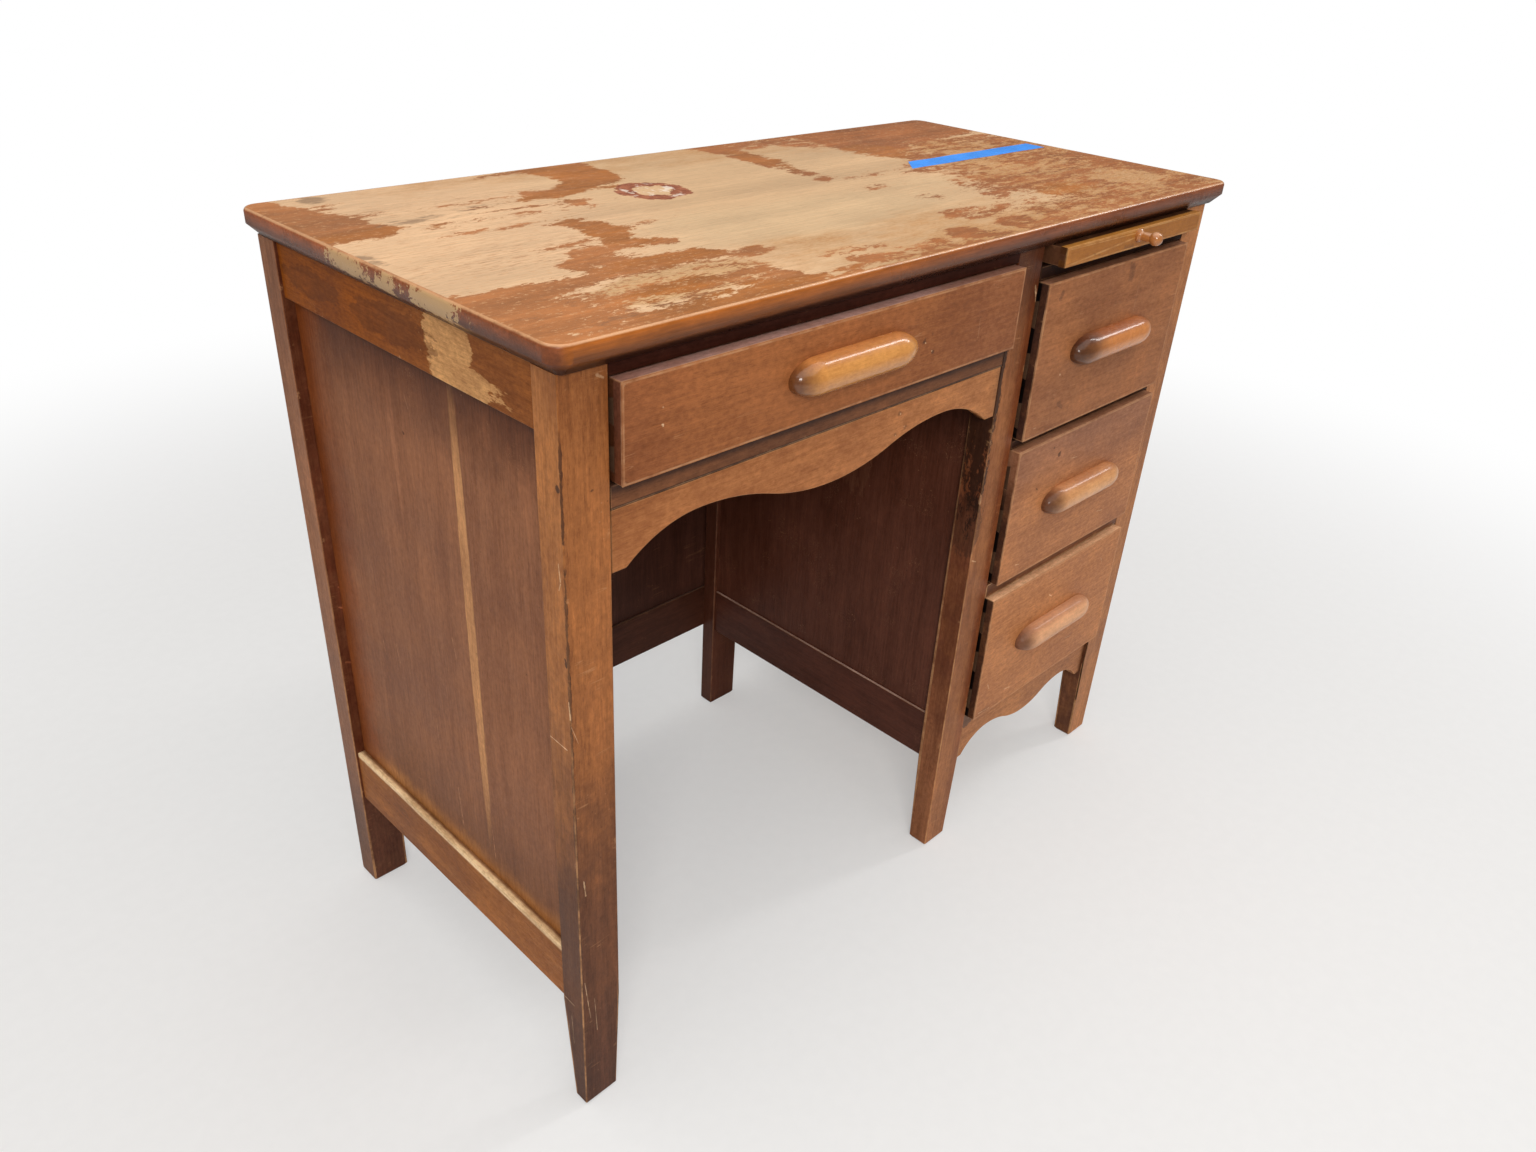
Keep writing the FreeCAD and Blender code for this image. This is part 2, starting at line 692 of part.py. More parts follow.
def make_runners():
    levels = [("one", rail_one_top), ("two", rail_two_top), ("three", ped_apron_top)]
    for name, opening in levels:
        face = opening + d.gap_under - d.runner_gap
        left = runner("left_runner_" + name, ped_left_wall, inner_right + d.gap_left, 1,
                      face, face + d.guide_high, inner_back_at)
        right = runner("right_runner_" + name, ped_right_wall, right_at - d.gap_right, -1,
                       face, face + d.guide_high, back_at)
        pair("runners_" + name, left, right)
    face = knee_rail_top + d.gap_under - d.runner_gap
    left = runner("left_runner_wide", knee_left_wall, left_in + d.wide_gap_left, 1,
                  face, face + d.guide_high, back_at)
    right = runner("right_runner_wide", knee_right_wall, inner_at - d.wide_gap_right, -1,
                   face, face + d.guide_high, inner_back_at)
    pair("runners_wide", left, right)
    face = slide_board_low - d.runner_gap
    left = runner("left_runner_slide", ped_left_wall, slide_left, 1,
                  face, frame_top, inner_back_at)
    right = runner("right_runner_slide", ped_right_wall, slide_left + slide_wide, -1,
                   face, frame_top, back_at)
    pair("runners_slide", left, right)


# ---------------------------------------------------------------- drawers

drawer_face = d.front_over - d.ajar
box_deep = inner_back_at - d.box_gap - d.front_over - d.front_thick
above_bottom = d.bottom_up + d.bottom_thick
back_at_y = box_deep - d.box_back_thick - d.back_in


def tail_spots(high, count):
    """Middle heights of the dovetails, and their half width at the shoulder."""
    pitch = high / count
    return [pitch * (k + 0.5) for k in range(count)], pitch * d.tail_share / 2


def make_drawer(name, start, run, floor, opening, count, gaps):
    wide = run - gaps[0] - gaps[1]
    x = start + gaps[0]
    low = floor + d.gap_under
    high = opening - d.gap_under - d.gap_over
    side_high = high - d.side_drop
    spots, half = tail_spots(side_high, count)
    behind = drawer_face + d.front_thick
    side_x = {"left": x, "right": x + wide - d.side_thick}

    # front: board with worn edges, dovetail sockets at both ends, groove for the bottom
    front = new_body(name + "_front", x, drawer_face, low)
    block(front, "Board", ZERO, ZERO, ZERO, wide, d.front_thick, high)
    round_edges(front, "WornEdge", d.front_edge, lambda box, e: box.YMax < 0.01)
    play = d.tail_play

    def sockets(sk, spot):
        bottom = d.front_thick - d.tail_long - play
        reach = half + play
        flare = reach + d.tail_slope
        profile(sk, [(bottom, spot - flare), (d.front_thick, spot - reach),
                     (d.front_thick, spot + reach), (bottom, spot + flare)])

    for k, spot in enumerate(spots):
        for side, at in (("Left", ZERO), ("Right", wide - d.side_thick)):
            pocket(front, "Socket%s%d" % (side, k), "x", lambda sk: sockets(sk, spot), at, d.side_thick)
    set_in = d.side_thick - d.bottom_set
    cut_block(front, "BottomGroove", set_in, d.front_thick - d.bottom_set, d.bottom_up,
              wide - set_in * 2, d.bottom_set, d.bottom_thick)

    # sides: one outline with the tails on its front edge
    for side in ("left", "right"):
        body = new_body("%s_side_%s" % (name, side), side_x[side], behind, low)
        outline = [(ZERO, ZERO), (box_deep, ZERO), (box_deep, side_high), (ZERO, side_high)]
        for spot in reversed(spots):
            flare = half + d.tail_slope
            outline += [(ZERO, spot + half), (-d.tail_long, spot + flare),
                        (-d.tail_long, spot - flare), (ZERO, spot - half)]
        pad(body, "Tails", "x", lambda sk: profile(sk, outline), ZERO, d.side_thick)
        inner = d.side_thick - d.bottom_set if side == "left" else ZERO
        cut_block(body, "BottomGroove", inner, -d.bottom_set, d.bottom_up,
                  d.bottom_set, box_deep + d.bottom_set, d.bottom_thick)
        cut_block(body, "BackDado", inner, back_at_y, above_bottom,
                  d.bottom_set, d.box_back_thick, side_high - above_bottom)

    # back stands on the bottom, bottom slides into the grooves
    inside = wide - set_in * 2 - d.groove_play * 2
    body = new_body(name + "_back", x + set_in + d.groove_play, behind + back_at_y + d.groove_play,
                    low + above_bottom)
    block(body, "Board", ZERO, ZERO, ZERO, inside, d.box_back_thick - d.groove_play * 2,
          side_high - above_bottom - d.front_edge * 2)
    body = new_body(name + "_bottom", x + set_in + d.groove_play,
                    behind - d.bottom_set + d.groove_play, low + d.bottom_up + d.groove_play)
    block(body, "Sheet", ZERO, ZERO, ZERO, inside, box_deep + d.bottom_set - d.groove_play,
          d.bottom_thick - d.groove_play * 2)
    make_pull(name + "_pull", x + wide / 2, low + high / 2)



def make_pull(label, x, z):
    """Bar turned to a bullet at both ends, then flattened at the back."""
    body = new_body(label, x, drawer_face - d.pull_axis_out, z)
    radius, tip, nose = d.pull_radius, d.pull_tip, d.pull_nose
    end = d.pull_long / 2
    spread = nose - tip
    ogive = (spread * spread + radius * radius - tip * tip) / ((radius - tip) * 2)
    share = tip / (ogive - tip)
    meet_x = end - tip + spread * share
    meet_y = (ogive - radius) * share
    shoulder = end - nose
    sk = new_sketch(body, "Outline", "XY_Plane")
    points = [(-end, ZERO), (end, ZERO), (meet_x, meet_y), (shoulder, radius),
              (-shoulder, radius), (-meet_x, meet_y)]
    profile(sk, points, {1: (tip, 1), 2: (ogive, 1), 4: (ogive, 1), 5: (tip, 1)})
    turned = body.newObject("PartDesign::Revolution", "Turning")
    turned.Profile = sk
    turned.ReferenceAxis = (sk, ["H_Axis"])
    turned.Angle = 360
    sk.Visibility = False
    cut_block(body, "FlatBack", -end - tip, d.pull_axis_out, -radius - tip,
              d.pull_long + tip * 2, radius, radius * 2 + tip * 2)


# ---------------------------------------------------------------- writing slide

slide_left = inner_right + d.slide_left_gap
slide_wide = d.ped_clear - d.slide_left_gap - d.slide_right_gap
slide_face = -d.slide_out
slide_low = slide_rail_top + d.slide_gap_under
slide_high = d.slide_open - d.slide_gap_under - d.slide_gap_over
slide_board_low = slide_low + (slide_high - d.board_thick) / 2
board_deep = inner_back_at - d.board_short - slide_face - d.strip_thick


def make_slide():
    middle = d.board_thick / 2
    tongue_low = middle - d.tongue_thick / 2
    behind = slide_face + d.strip_thick
    board = new_body("slide_board", slide_left, behind, slide_board_low)
    block(board, "Board", ZERO, ZERO, ZERO, slide_wide, board_deep, d.board_thick)
    block(board, "Tongue", ZERO, -d.strip_tongue, tongue_low,
          slide_wide, d.strip_tongue, d.tongue_thick)

    strip = new_body("slide_strip", slide_left, slide_face, slide_low)
    block(strip, "Strip", ZERO, ZERO, ZERO, slide_wide, d.strip_thick, slide_high)
    round_edges(strip, "WornEdge", d.front_edge, lambda box, e: box.YMax < 0.01)
    groove_low = slide_high / 2 - d.tongue_thick / 2
    cut_block(strip, "Groove", ZERO, d.strip_thick - d.strip_tongue, groove_low,
              slide_wide, d.strip_tongue, d.tongue_thick)
    bore = new_sketch(strip, "PinBore", "XZ_Plane")
    circle = bore.addGeometry(Part.Circle(Vector(0, 0, 0), Vector(0, 0, 1), d.knob_pin.value))
    fix_point(bore, circle, 3, slide_wide / 2, slide_high / 2 + d.knob_up)
    bind(bore, "Radius", (circle,), d.knob_pin)
    hole = strip.newObject("PartDesign::Pocket", "PinHole")
    hole.Profile = bore
    hole.Length = d.pin_long.value
    hole.setExpression("Length", d.pin_long.text)
    bore.Visibility = False


def make_knob():
    """Ball knob turned with a base ring, a waisted neck and a pin."""
    body = new_body("slide_knob", slide_left + slide_wide / 2, slide_face,
                    slide_low + slide_high / 2 + d.knob_up)
    ball_at = d.knob_long - d.knob_ball
    leave = (d.knob_ball * d.knob_ball - d.knob_neck * d.knob_neck).root()
    pin = d.strip_thick - d.strip_tongue
    points = [
        (ZERO, pin),
        (ZERO, -d.knob_long),
        (d.knob_neck, leave - ball_at),
        (d.knob_neck, -d.knob_ring - d.knob_waist),
        (d.knob_base - d.knob_lip, -d.knob_ring),
        (d.knob_base, -d.knob_ring + d.knob_lip),
        (d.knob_base, ZERO),
        (d.knob_pin, ZERO),
        (d.knob_pin, pin),
    ]
    sk = new_sketch(body, "Outline", "XY_Plane")
    profile(sk, points, {1: (d.knob_ball, 1), 3: (d.knob_cove, -1)})
    turned = body.newObject("PartDesign::Revolution", "Turning")
    turned.Profile = sk
    turned.ReferenceAxis = (sk, ["V_Axis"])
    turned.Angle = 360
    sk.Visibility = False


# ---------------------------------------------------------------- glue blocks

def make_blocks():
    """Three-cornered blocks glued under the top against the upper rails."""
    leg, long = d.block_leg, d.block_long
    side_run = back_at - front_back
    spots = [(knee_left_wall, front_back + side_run * share, True) for share in (0.25, 0.65)]
    spots += [(left_in + knee_run * share, back_face, False) for share in (0.25, 0.6)]
    spots.append((inner_right + d.ped_clear * 0.35, back_face, False))
    links = []
    for k, (x, y, on_side) in enumerate(spots):
        body = doc.addObject("PartDesign::Body", "glue_block_%d" % k)
        body.Label = body.Name
        place(body, x, y, frame_top)
        if on_side:
            points = [(ZERO, ZERO), (ZERO, -leg), (leg, ZERO)]
            pad(body, "Prism", "y", lambda sk: profile(sk, points), ZERO, long)
        else:
            points = [(ZERO, ZERO), (-leg, ZERO), (ZERO, -leg)]
            pad(body, "Prism", "x", lambda sk: profile(sk, points), ZERO, long)
        links.append(body)
    blocks = doc.addObject("Part::Compound", "glue_blocks")
    blocks.Label = "glue_blocks"
    blocks.Links = links
    parts.append(blocks)


# ---------------------------------------------------------------- build

make_top()
for label in posts:
    make_post(label)
for label, rail in rails.items():
    make_rail(label, rail)
make_panels()
make_aprons()
make_runners()
wide_gaps = (d.wide_gap_left, d.wide_gap_right)
stack_gaps = (d.gap_left, d.gap_right)
make_drawer("drawer_wide", left_in, knee_run, knee_rail_top, d.wide_open, 2, wide_gaps)
for name, floor, opening in (
    ("drawer_one", rail_one_top, d.one_open),
    ("drawer_two", rail_two_top, d.two_open),
    ("drawer_three", ped_apron_top, d.three_open),
):
    make_drawer(name, inner_right, d.ped_clear, floor, opening, 3, stack_gaps)
make_slide()
make_knob()
make_blocks()
doc.recompute()

for obj in doc.Objects:
    if "Invalid" in obj.State or "Error" in obj.State:
        raise RuntimeError("failed object: %s %s" % (obj.Name, obj.State))
for obj in parts:
    if obj.Shape.isNull() or not obj.Shape.isValid():
        raise RuntimeError("bad shape: " + obj.Label)

os.makedirs("parts", exist_ok=True)
for obj in parts:
    obj.Shape.exportStep("parts/%s.step" % obj.Label)

whole = FreeCAD.BoundBox()
for obj in parts:
    whole.add(obj.Shape.BoundBox)
print("nodes", len(parts), "box", whole)
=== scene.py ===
import bpy
import json
import math
from mathutils import Matrix, Vector


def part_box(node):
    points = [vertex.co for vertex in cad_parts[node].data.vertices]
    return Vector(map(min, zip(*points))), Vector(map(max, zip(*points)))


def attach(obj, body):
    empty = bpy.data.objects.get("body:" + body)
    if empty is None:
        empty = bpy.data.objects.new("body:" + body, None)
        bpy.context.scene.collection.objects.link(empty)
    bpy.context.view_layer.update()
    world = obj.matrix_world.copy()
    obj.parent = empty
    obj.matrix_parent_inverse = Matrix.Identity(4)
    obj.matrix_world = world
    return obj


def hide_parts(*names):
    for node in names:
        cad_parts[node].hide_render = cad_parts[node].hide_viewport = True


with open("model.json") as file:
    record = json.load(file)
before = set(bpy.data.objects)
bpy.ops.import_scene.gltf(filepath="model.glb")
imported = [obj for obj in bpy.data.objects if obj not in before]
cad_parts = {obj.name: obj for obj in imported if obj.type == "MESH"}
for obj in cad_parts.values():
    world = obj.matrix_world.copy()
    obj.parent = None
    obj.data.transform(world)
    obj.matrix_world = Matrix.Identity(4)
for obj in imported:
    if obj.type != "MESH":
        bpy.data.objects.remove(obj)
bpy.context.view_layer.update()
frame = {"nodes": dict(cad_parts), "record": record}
print("desk loaded:", len(frame["nodes"]), "nodes")

bodyOf = {node: body for body, nodes in frame["record"]["behaviour"]["bodies"].items() for node in nodes}
shown = dict(frame["nodes"])  # the object that shows each node
# mm of the desk count from the floor under the top's front left corner
deskCorner = Vector((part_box("top")[0].x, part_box("top")[0].y, 0)) * 1000
hair = 0.00004  # corners closer than this in m share a place
sunk = 0.0002  # how far in m the worn plank lies under its sharp corner


# small helpers for node trees

def paint(red, green, blue):
    # colour as read off a paint card, 0 to 255
    def flat(c):
        c = c / 255
        return c / 12.92 if c <= 0.04045 else ((c + 0.055) / 1.055) ** 2.4
    return (flat(red), flat(green), flat(blue), 1)


class Graph:
    # one material and a short way to add nodes to it
    def __init__(self, name):
        self.material = bpy.data.materials.new(name)
        self.material.use_nodes = True
        self.tree = self.material.node_tree
        self.tree.nodes.clear()
        self.output = self.add("OutputMaterial")
        self.shader = self.add("BsdfPrincipled")
        self.tree.links.new(self.shader.outputs[0], self.output.inputs["Surface"])
        coordinates = self.add("TexCoord")
        self.place = coordinates.outputs["Object"]
        self.facing = coordinates.outputs["Normal"]

    def add(self, kind, **settings):
        item = self.tree.nodes.new("ShaderNode" + kind)
        for key, value in settings.items():
            setattr(item, key, value)
        return item

    def feed(self, socket, value):
        if isinstance(value, bpy.types.NodeSocket):
            self.tree.links.new(value, socket)
        else:
            socket.default_value = value

    def fill(self, item, settings):
        for name, value in settings.items():
            self.feed(item.inputs[name], value)
        return item

    def math(self, operation, *values, clamp=False):
        item = self.add("Math", operation=operation, use_clamp=clamp)
        for socket, value in zip(item.inputs, values):
            self.feed(socket, value)
        return item.outputs[0]

    def times(self, *values):
        total = values[0]
        for value in values[1:]:
            total = self.math("MULTIPLY", total, value)
        return total

    def plus(self, first, factor, added):
        # first times factor, plus added
        return self.math("MULTIPLY_ADD", first, factor, added)

    def minus(self, first, second):
        return self.math("SUBTRACT", first, second)

    def gap(self, first, second):
        return self.math("ABSOLUTE", self.minus(first, second))

    def most(self, first, second):
        return self.math("MAXIMUM", first, second)

    def least(self, first, second):
        return self.math("MINIMUM", first, second)

    def vector(self, operation, first, second=None):
        item = self.add("VectorMath", operation=operation)
        self.feed(item.inputs[0], first)
        if second is not None:
            self.feed(item.inputs[1], second)
        return item.outputs["Value" if operation in ("LENGTH", "DOT_PRODUCT") else "Vector"]

    def split(self, vector):
        item = self.add("SeparateXYZ")
        self.feed(item.inputs[0], vector)
        return item.outputs[0], item.outputs[1], item.outputs[2]

    def noise(self, vector, scale, detail=3, roughness=0.55, distortion=0, colour=False):
        item = self.fill(self.add("TexNoise"), {"Vector": vector, "Scale": scale, "Detail": detail,
                                                "Roughness": roughness, "Distortion": distortion})
        return item.outputs["Color" if colour else "Fac"]

    def step(self, value, low, high, start=0, end=1):
        item = self.add("MapRange", interpolation_type="SMOOTHSTEP")
        for socket, given in zip(item.inputs, (value, low, high, start, end)):
            self.feed(socket, given)
        return item.outputs[0]

    def mix(self, share, first, second, mode="MIX"):
        item = self.add("Mix", data_type="RGBA", blend_type=mode, clamp_factor=True)
        for index, value in ((0, share), (6, first), (7, second)):
            self.feed(item.inputs[index], value)
        return item.outputs[2]

    def scaled(self, colour, amount):
        item = self.add("VectorMath", operation="SCALE")
        self.feed(item.inputs[0], colour if isinstance(colour, bpy.types.NodeSocket) else colour[:3])
        self.feed(item.inputs["Scale"], amount)
        return item.outputs[0]

    def bump(self, height, distance, strength=1.0):
        settings = {"Strength": strength, "Distance": distance, "Height": height}
        return self.fill(self.add("Bump"), settings).outputs[0]

    def attribute(self, name):
        return self.add("Attribute", attribute_name=name).outputs["Fac"]

    def moved(self, seed, x, y, z):
        # object coordinates shifted, so that no two pieces share a pattern
        return self.vector("ADD", self.place, (seed * x, seed * y, seed * z))

    def inMillimetres(self, low):
        return self.vector("MULTIPLY", self.vector("SUBTRACT", self.place, tuple(low)), (1000, 1000, 1000))

    def patches(self, place, spots, ragged, seed=0.0, stretch=(1, 1, 1)):
        # depth in mm inside blobs (place, half sizes, thickness); ragged is how far each noise moves their edges
        total = None
        for x, y, z, rx, ry, rz, most in spots:
            item = self.add("Mapping", vector_type="TEXTURE")
            self.fill(item, {"Vector": place, "Location": (x, y, z), "Scale": (rx, ry, rz)})
            away = self.vector("LENGTH", item.outputs[0])
            depth = self.plus(away, -min(rx, ry, rz), min(rx, ry, rz))
            depth = self.least(depth, most)
            total = depth if total is None else self.most(total, depth)
        wide = self.vector("MULTIPLY", self.vector("ADD", place, (seed * 91, seed * 37, seed * 53)), stretch)
        for amount, scale in zip(ragged, (0.016, 0.11, 0.5)):
            cloud = self.noise(wide, scale, 3, 0.6, 0.3)
            total = self.plus(self.minus(cloud, 0.5), amount, total)
        return total


def dress(node, material):
    # the finish goes on every slot of the object that shows a node
    piece = shown[node]
    if not piece.data.materials:
        piece.data.materials.append(material)
    for index in range(len(piece.data.materials)):
        piece.data.materials[index] = material


# arrises rounded over by use

taperTop = 0.1265  # just over the height in m where the feet start to taper


def outerEdges(a, b, low, high, kinds):
    # is the edge from a to b one that the settings name
    def ends(k):
        return min(abs(a[k] - low[k]), abs(a[k] - high[k])) < hair and abs(a[k] - b[k]) < hair
    for kind in kinds:
        if kind == "front" and max(a.y, b.y) - low.y < hair:
            return True
        if kind == "left" and max(a.x, b.x) - low.x < hair and abs(a.y - b.y) > 0.05:
            return True
        if kind == "foot" and max(a.z, b.z) < taperTop and (a - b).length > 0.06:
            return True
        if kind in "xyz" and all(ends(k) for k in range(3) if "xyz"[k] != kind):
            return True
    return False


def looseCopy(node, suffix):
    # merged copy of a solid, active and in object mode
    bpy.ops.object.select_all(action="DESELECT")
    piece = bpy.data.objects.new(node + suffix, frame["nodes"][node].data.copy())
    bpy.context.scene.collection.objects.link(piece)
    piece.select_set(True)
    bpy.context.view_layer.objects.active = piece
    bpy.ops.object.mode_set(mode="EDIT")
    bpy.ops.mesh.select_mode(type="EDGE")
    bpy.ops.mesh.select_all(action="SELECT")
    bpy.ops.mesh.remove_doubles(threshold=0.00001)
    bpy.ops.mesh.dissolve_limited(angle_limit=math.radians(0.4))
    bpy.ops.mesh.select_all(action="DESELECT")
    bpy.ops.object.mode_set(mode="OBJECT")
    return piece


def standFor(piece, node):
    # smooth the rounds, keep the flats flat, and let the piece show the node
    bpy.ops.object.shade_smooth_by_angle(angle=math.radians(38))
    piece.modifiers.new("weigh", "WEIGHTED_NORMAL").keep_sharp = True
    bpy.ops.object.modifier_apply(modifier="weigh")
    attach(piece, bodyOf[node])
    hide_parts(node)
    shown[node] = piece


def easedCopy(node, kinds, width):
    # copy of a solid with the arrises that hands and feet reach rounded; attribute rub is 1 on the round
    low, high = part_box(node)
    piece = looseCopy(node, "_eased")
    mesh = piece.data
    for edge in mesh.edges:
        a, b = (mesh.vertices[i].co for i in edge.vertices)
        edge.select = outerEdges(a, b, low, high, kinds)
    bpy.ops.object.mode_set(mode="EDIT")
    bpy.ops.mesh.bevel(offset=width / 1000, segments=3, profile=0.5, affect="EDGES", clamp_overlap=False)
    bpy.ops.object.mode_set(mode="OBJECT")
    for vertex in mesh.vertices:  # no corner of a round leaves the solid's box
        vertex.co = [min(max(c, least), most) for c, least, most in zip(vertex.co, low, high)]
    around = {}
    for face in mesh.polygons:
        corners = [mesh.vertices[i].co for i in face.vertices]
        longest = max((a - b).length for a, b in zip(corners, corners[1:] + corners[:1]))
        narrow = face.area / longest < width * 0.00075  # strips of the new rounds
        for index in face.vertices:
            around.setdefault(index, []).append(narrow)
    rub = mesh.attributes.new("rub", "FLOAT", "POINT")
    for index, flags in around.items():
        rub.data[index].value = 1.0 if all(flags) else 0.0
    standFor(piece, node)


easing = {
    # arrises to round and the width of the round in mm
    "post_front_left": ("z foot", 1.6), "post_rear_left": ("z foot", 1.5), "post_inner_front": ("z foot", 1.6),
    "post_inner_rear": ("z foot", 1.2), "post_front_right": ("z foot", 1.5), "post_rear_right": ("z foot", 1.5),
    "left_upper_rail": ("left", 0.8), "left_lower_rail": ("left", 1.4),
    "knee_apron": ("front", 1.1), "pedestal_apron": ("front", 1.1),
    "knee_rail": ("front", 1.2), "slide_rail": ("front", 1.2),
    "drawer_rail_one": ("front", 1.2), "drawer_rail_two": ("front", 1.5),
    "drawer_wide_front": ("front y", 1.3), "drawer_one_front": ("front y", 1.4),
    "drawer_two_front": ("front y", 1.4), "drawer_three_front": ("front y", 1.5),
    "slide_strip": ("front", 1.1),
}
for node, (kinds, width) in easing.items():
    easedCopy(node, kinds.split(), width)
print("arrises eased:", len(easing), "pieces")


# stained wood

def grainSpace(g, seed, along, across, axis):
    # object coordinates squeezed along the fibres
    size = [across, across, across]
    size["xyz".index(axis)] = along
    return g.vector("MULTIPLY", g.moved(seed, 3.1, 1.7, 2.3), tuple(size))


def woodTone(g, look, seed):
    # figure, fine fibres, pores and slow clouds in one brightness, and the height that goes with them
    axis = look["grain"]
    waves = g.noise(g.place, 6, 2, colour=True)
    waves = g.vector("MULTIPLY", waves, (0.9, 0.9, 0.9))
    broad = g.noise(g.vector("ADD", grainSpace(g, seed, 2.2, 34, axis), waves), 1, 3, 0.6, 0.5)
    fibres = g.noise(grainSpace(g, seed + 1, 26, 420, axis), 1, 4, 0.72)
    pores = g.noise(grainSpace(g, seed + 2, 150, 1900, axis), 1, 2, 0.5)
    cloud = g.noise(g.moved(seed, 1, 2, 3), 8, 4, 0.62)
    mottle = g.noise(grainSpace(g, seed + 4, 150, 230, axis), 1, 5, 0.75)
    tone = g.step(broad, 0.3, 0.7, 1 - look["figure"], 1 + look["figure"])
    for part, source, edge in (("fibre", fibres, 0.3), ("cloud", cloud, 0.28), ("mottle", mottle, 0.3)):
        tone = g.times(tone, g.step(source, edge, 1 - edge, 1 - look[part], 1 + look[part]))
    tone = g.times(tone, g.step(pores, 0.56, 0.7, 1, 1 - look["pore"]))
    height = g.plus(pores, -0.6, fibres)
    return tone, height, cloud


def toned(g, colour, tone):
    # darker wood is also redder
    dark = g.mix(1, colour, (1.02, 0.93, 0.86, 1), "MULTIPLY")
    return g.scaled(g.mix(g.step(tone, 0.75, 1.05), dark, colour), tone)


def boxEdge(g, low, high):
    # distance in mm to the nearest edge of a board's box
    gaps = []
    for k, value in enumerate(g.split(g.place)):
        gaps.append(g.least(g.gap(value, low[k]), g.gap(value, high[k])))
    small, large = g.least(gaps[0], gaps[1]), g.most(gaps[0], gaps[1])
    return g.times(g.most(small, g.least(large, gaps[2])), 1000)


def scratches(g, seed, turn, spacing, bare):
    # a few thin lines at one angle, where the slow noise lets them be
    item = g.fill(g.add("Mapping"), {
        "Vector": g.moved(seed, 0.7, 0.3, 0.9), "Rotation": tuple(math.radians(a) for a in turn),
        "Scale": (spacing * 0.04, spacing, spacing),
    })
    thin = g.gap(g.noise(item.outputs[0], 1, 1, 0.4), 0.5)
    there = g.noise(g.moved(seed, 1, 0, 1), 21, 2, 0.6)
    return g.times(g.step(thin, 0.014, 0.0), g.step(there, bare, bare + 0.07))


def specks(g, seed, scale, size, bare):
    # pale or dark dots where the wood was knocked
    item = g.fill(g.add("TexVoronoi", feature="F1"), {"Vector": g.moved(seed, 1, 0.5, 0.2), "Scale": scale})
    there = g.noise(g.place, 14, 2, 0.6)
    return g.times(g.step(item.outputs["Distance"], size, size * 0.5), g.step(there, bare, bare + 0.05))


stainParts = ("grain", "colour", "figure", "fibre", "cloud", "mottle", "pore", "rough", "worn", "wear")
stains = {
    # how strongly figure, fibre, cloud, mottle and pores show, range of roughness, colour and strength of worn edges
    "post": ("z", (153, 94, 50), 0.17, 0.15, 0.22, 0.17, 0.24, (0.34, 0.5), (202, 150, 104), 0.7),
    "rail": ("x", (150, 92, 50), 0.16, 0.15, 0.24, 0.18, 0.24, (0.36, 0.52), (208, 158, 112), 0.75),
    "panel": ("z", (141, 93, 66), 0.12, 0.13, 0.16, 0.13, 0.22, (0.4, 0.55), (170, 120, 84), 0.3),
    "front": ("x", (158, 106, 70), 0.1, 0.12, 0.19, 0.17, 0.18, (0.38, 0.54), (204, 154, 112), 0.6),
    "apron": ("x", (170, 108, 62), 0.12, 0.13, 0.18, 0.18, 0.2, (0.36, 0.5), (212, 160, 112), 0.8),
    "inner": ("z", (88, 50, 36), 0.18, 0.16, 0.2, 0.08, 0.26, (0.32, 0.5), (150, 106, 78), 0.5),
    "bare": ("y", (196, 162, 118), 0.1, 0.07, 0.08, 0.03, 0.12, (0.6, 0.8), (214, 184, 144), 0.2),
    "pull": ("x", (206, 140, 76), 0.12, 0.06, 0.08, 0.1, 0.1, (0.16, 0.28), (220, 170, 110), 0.0),
}


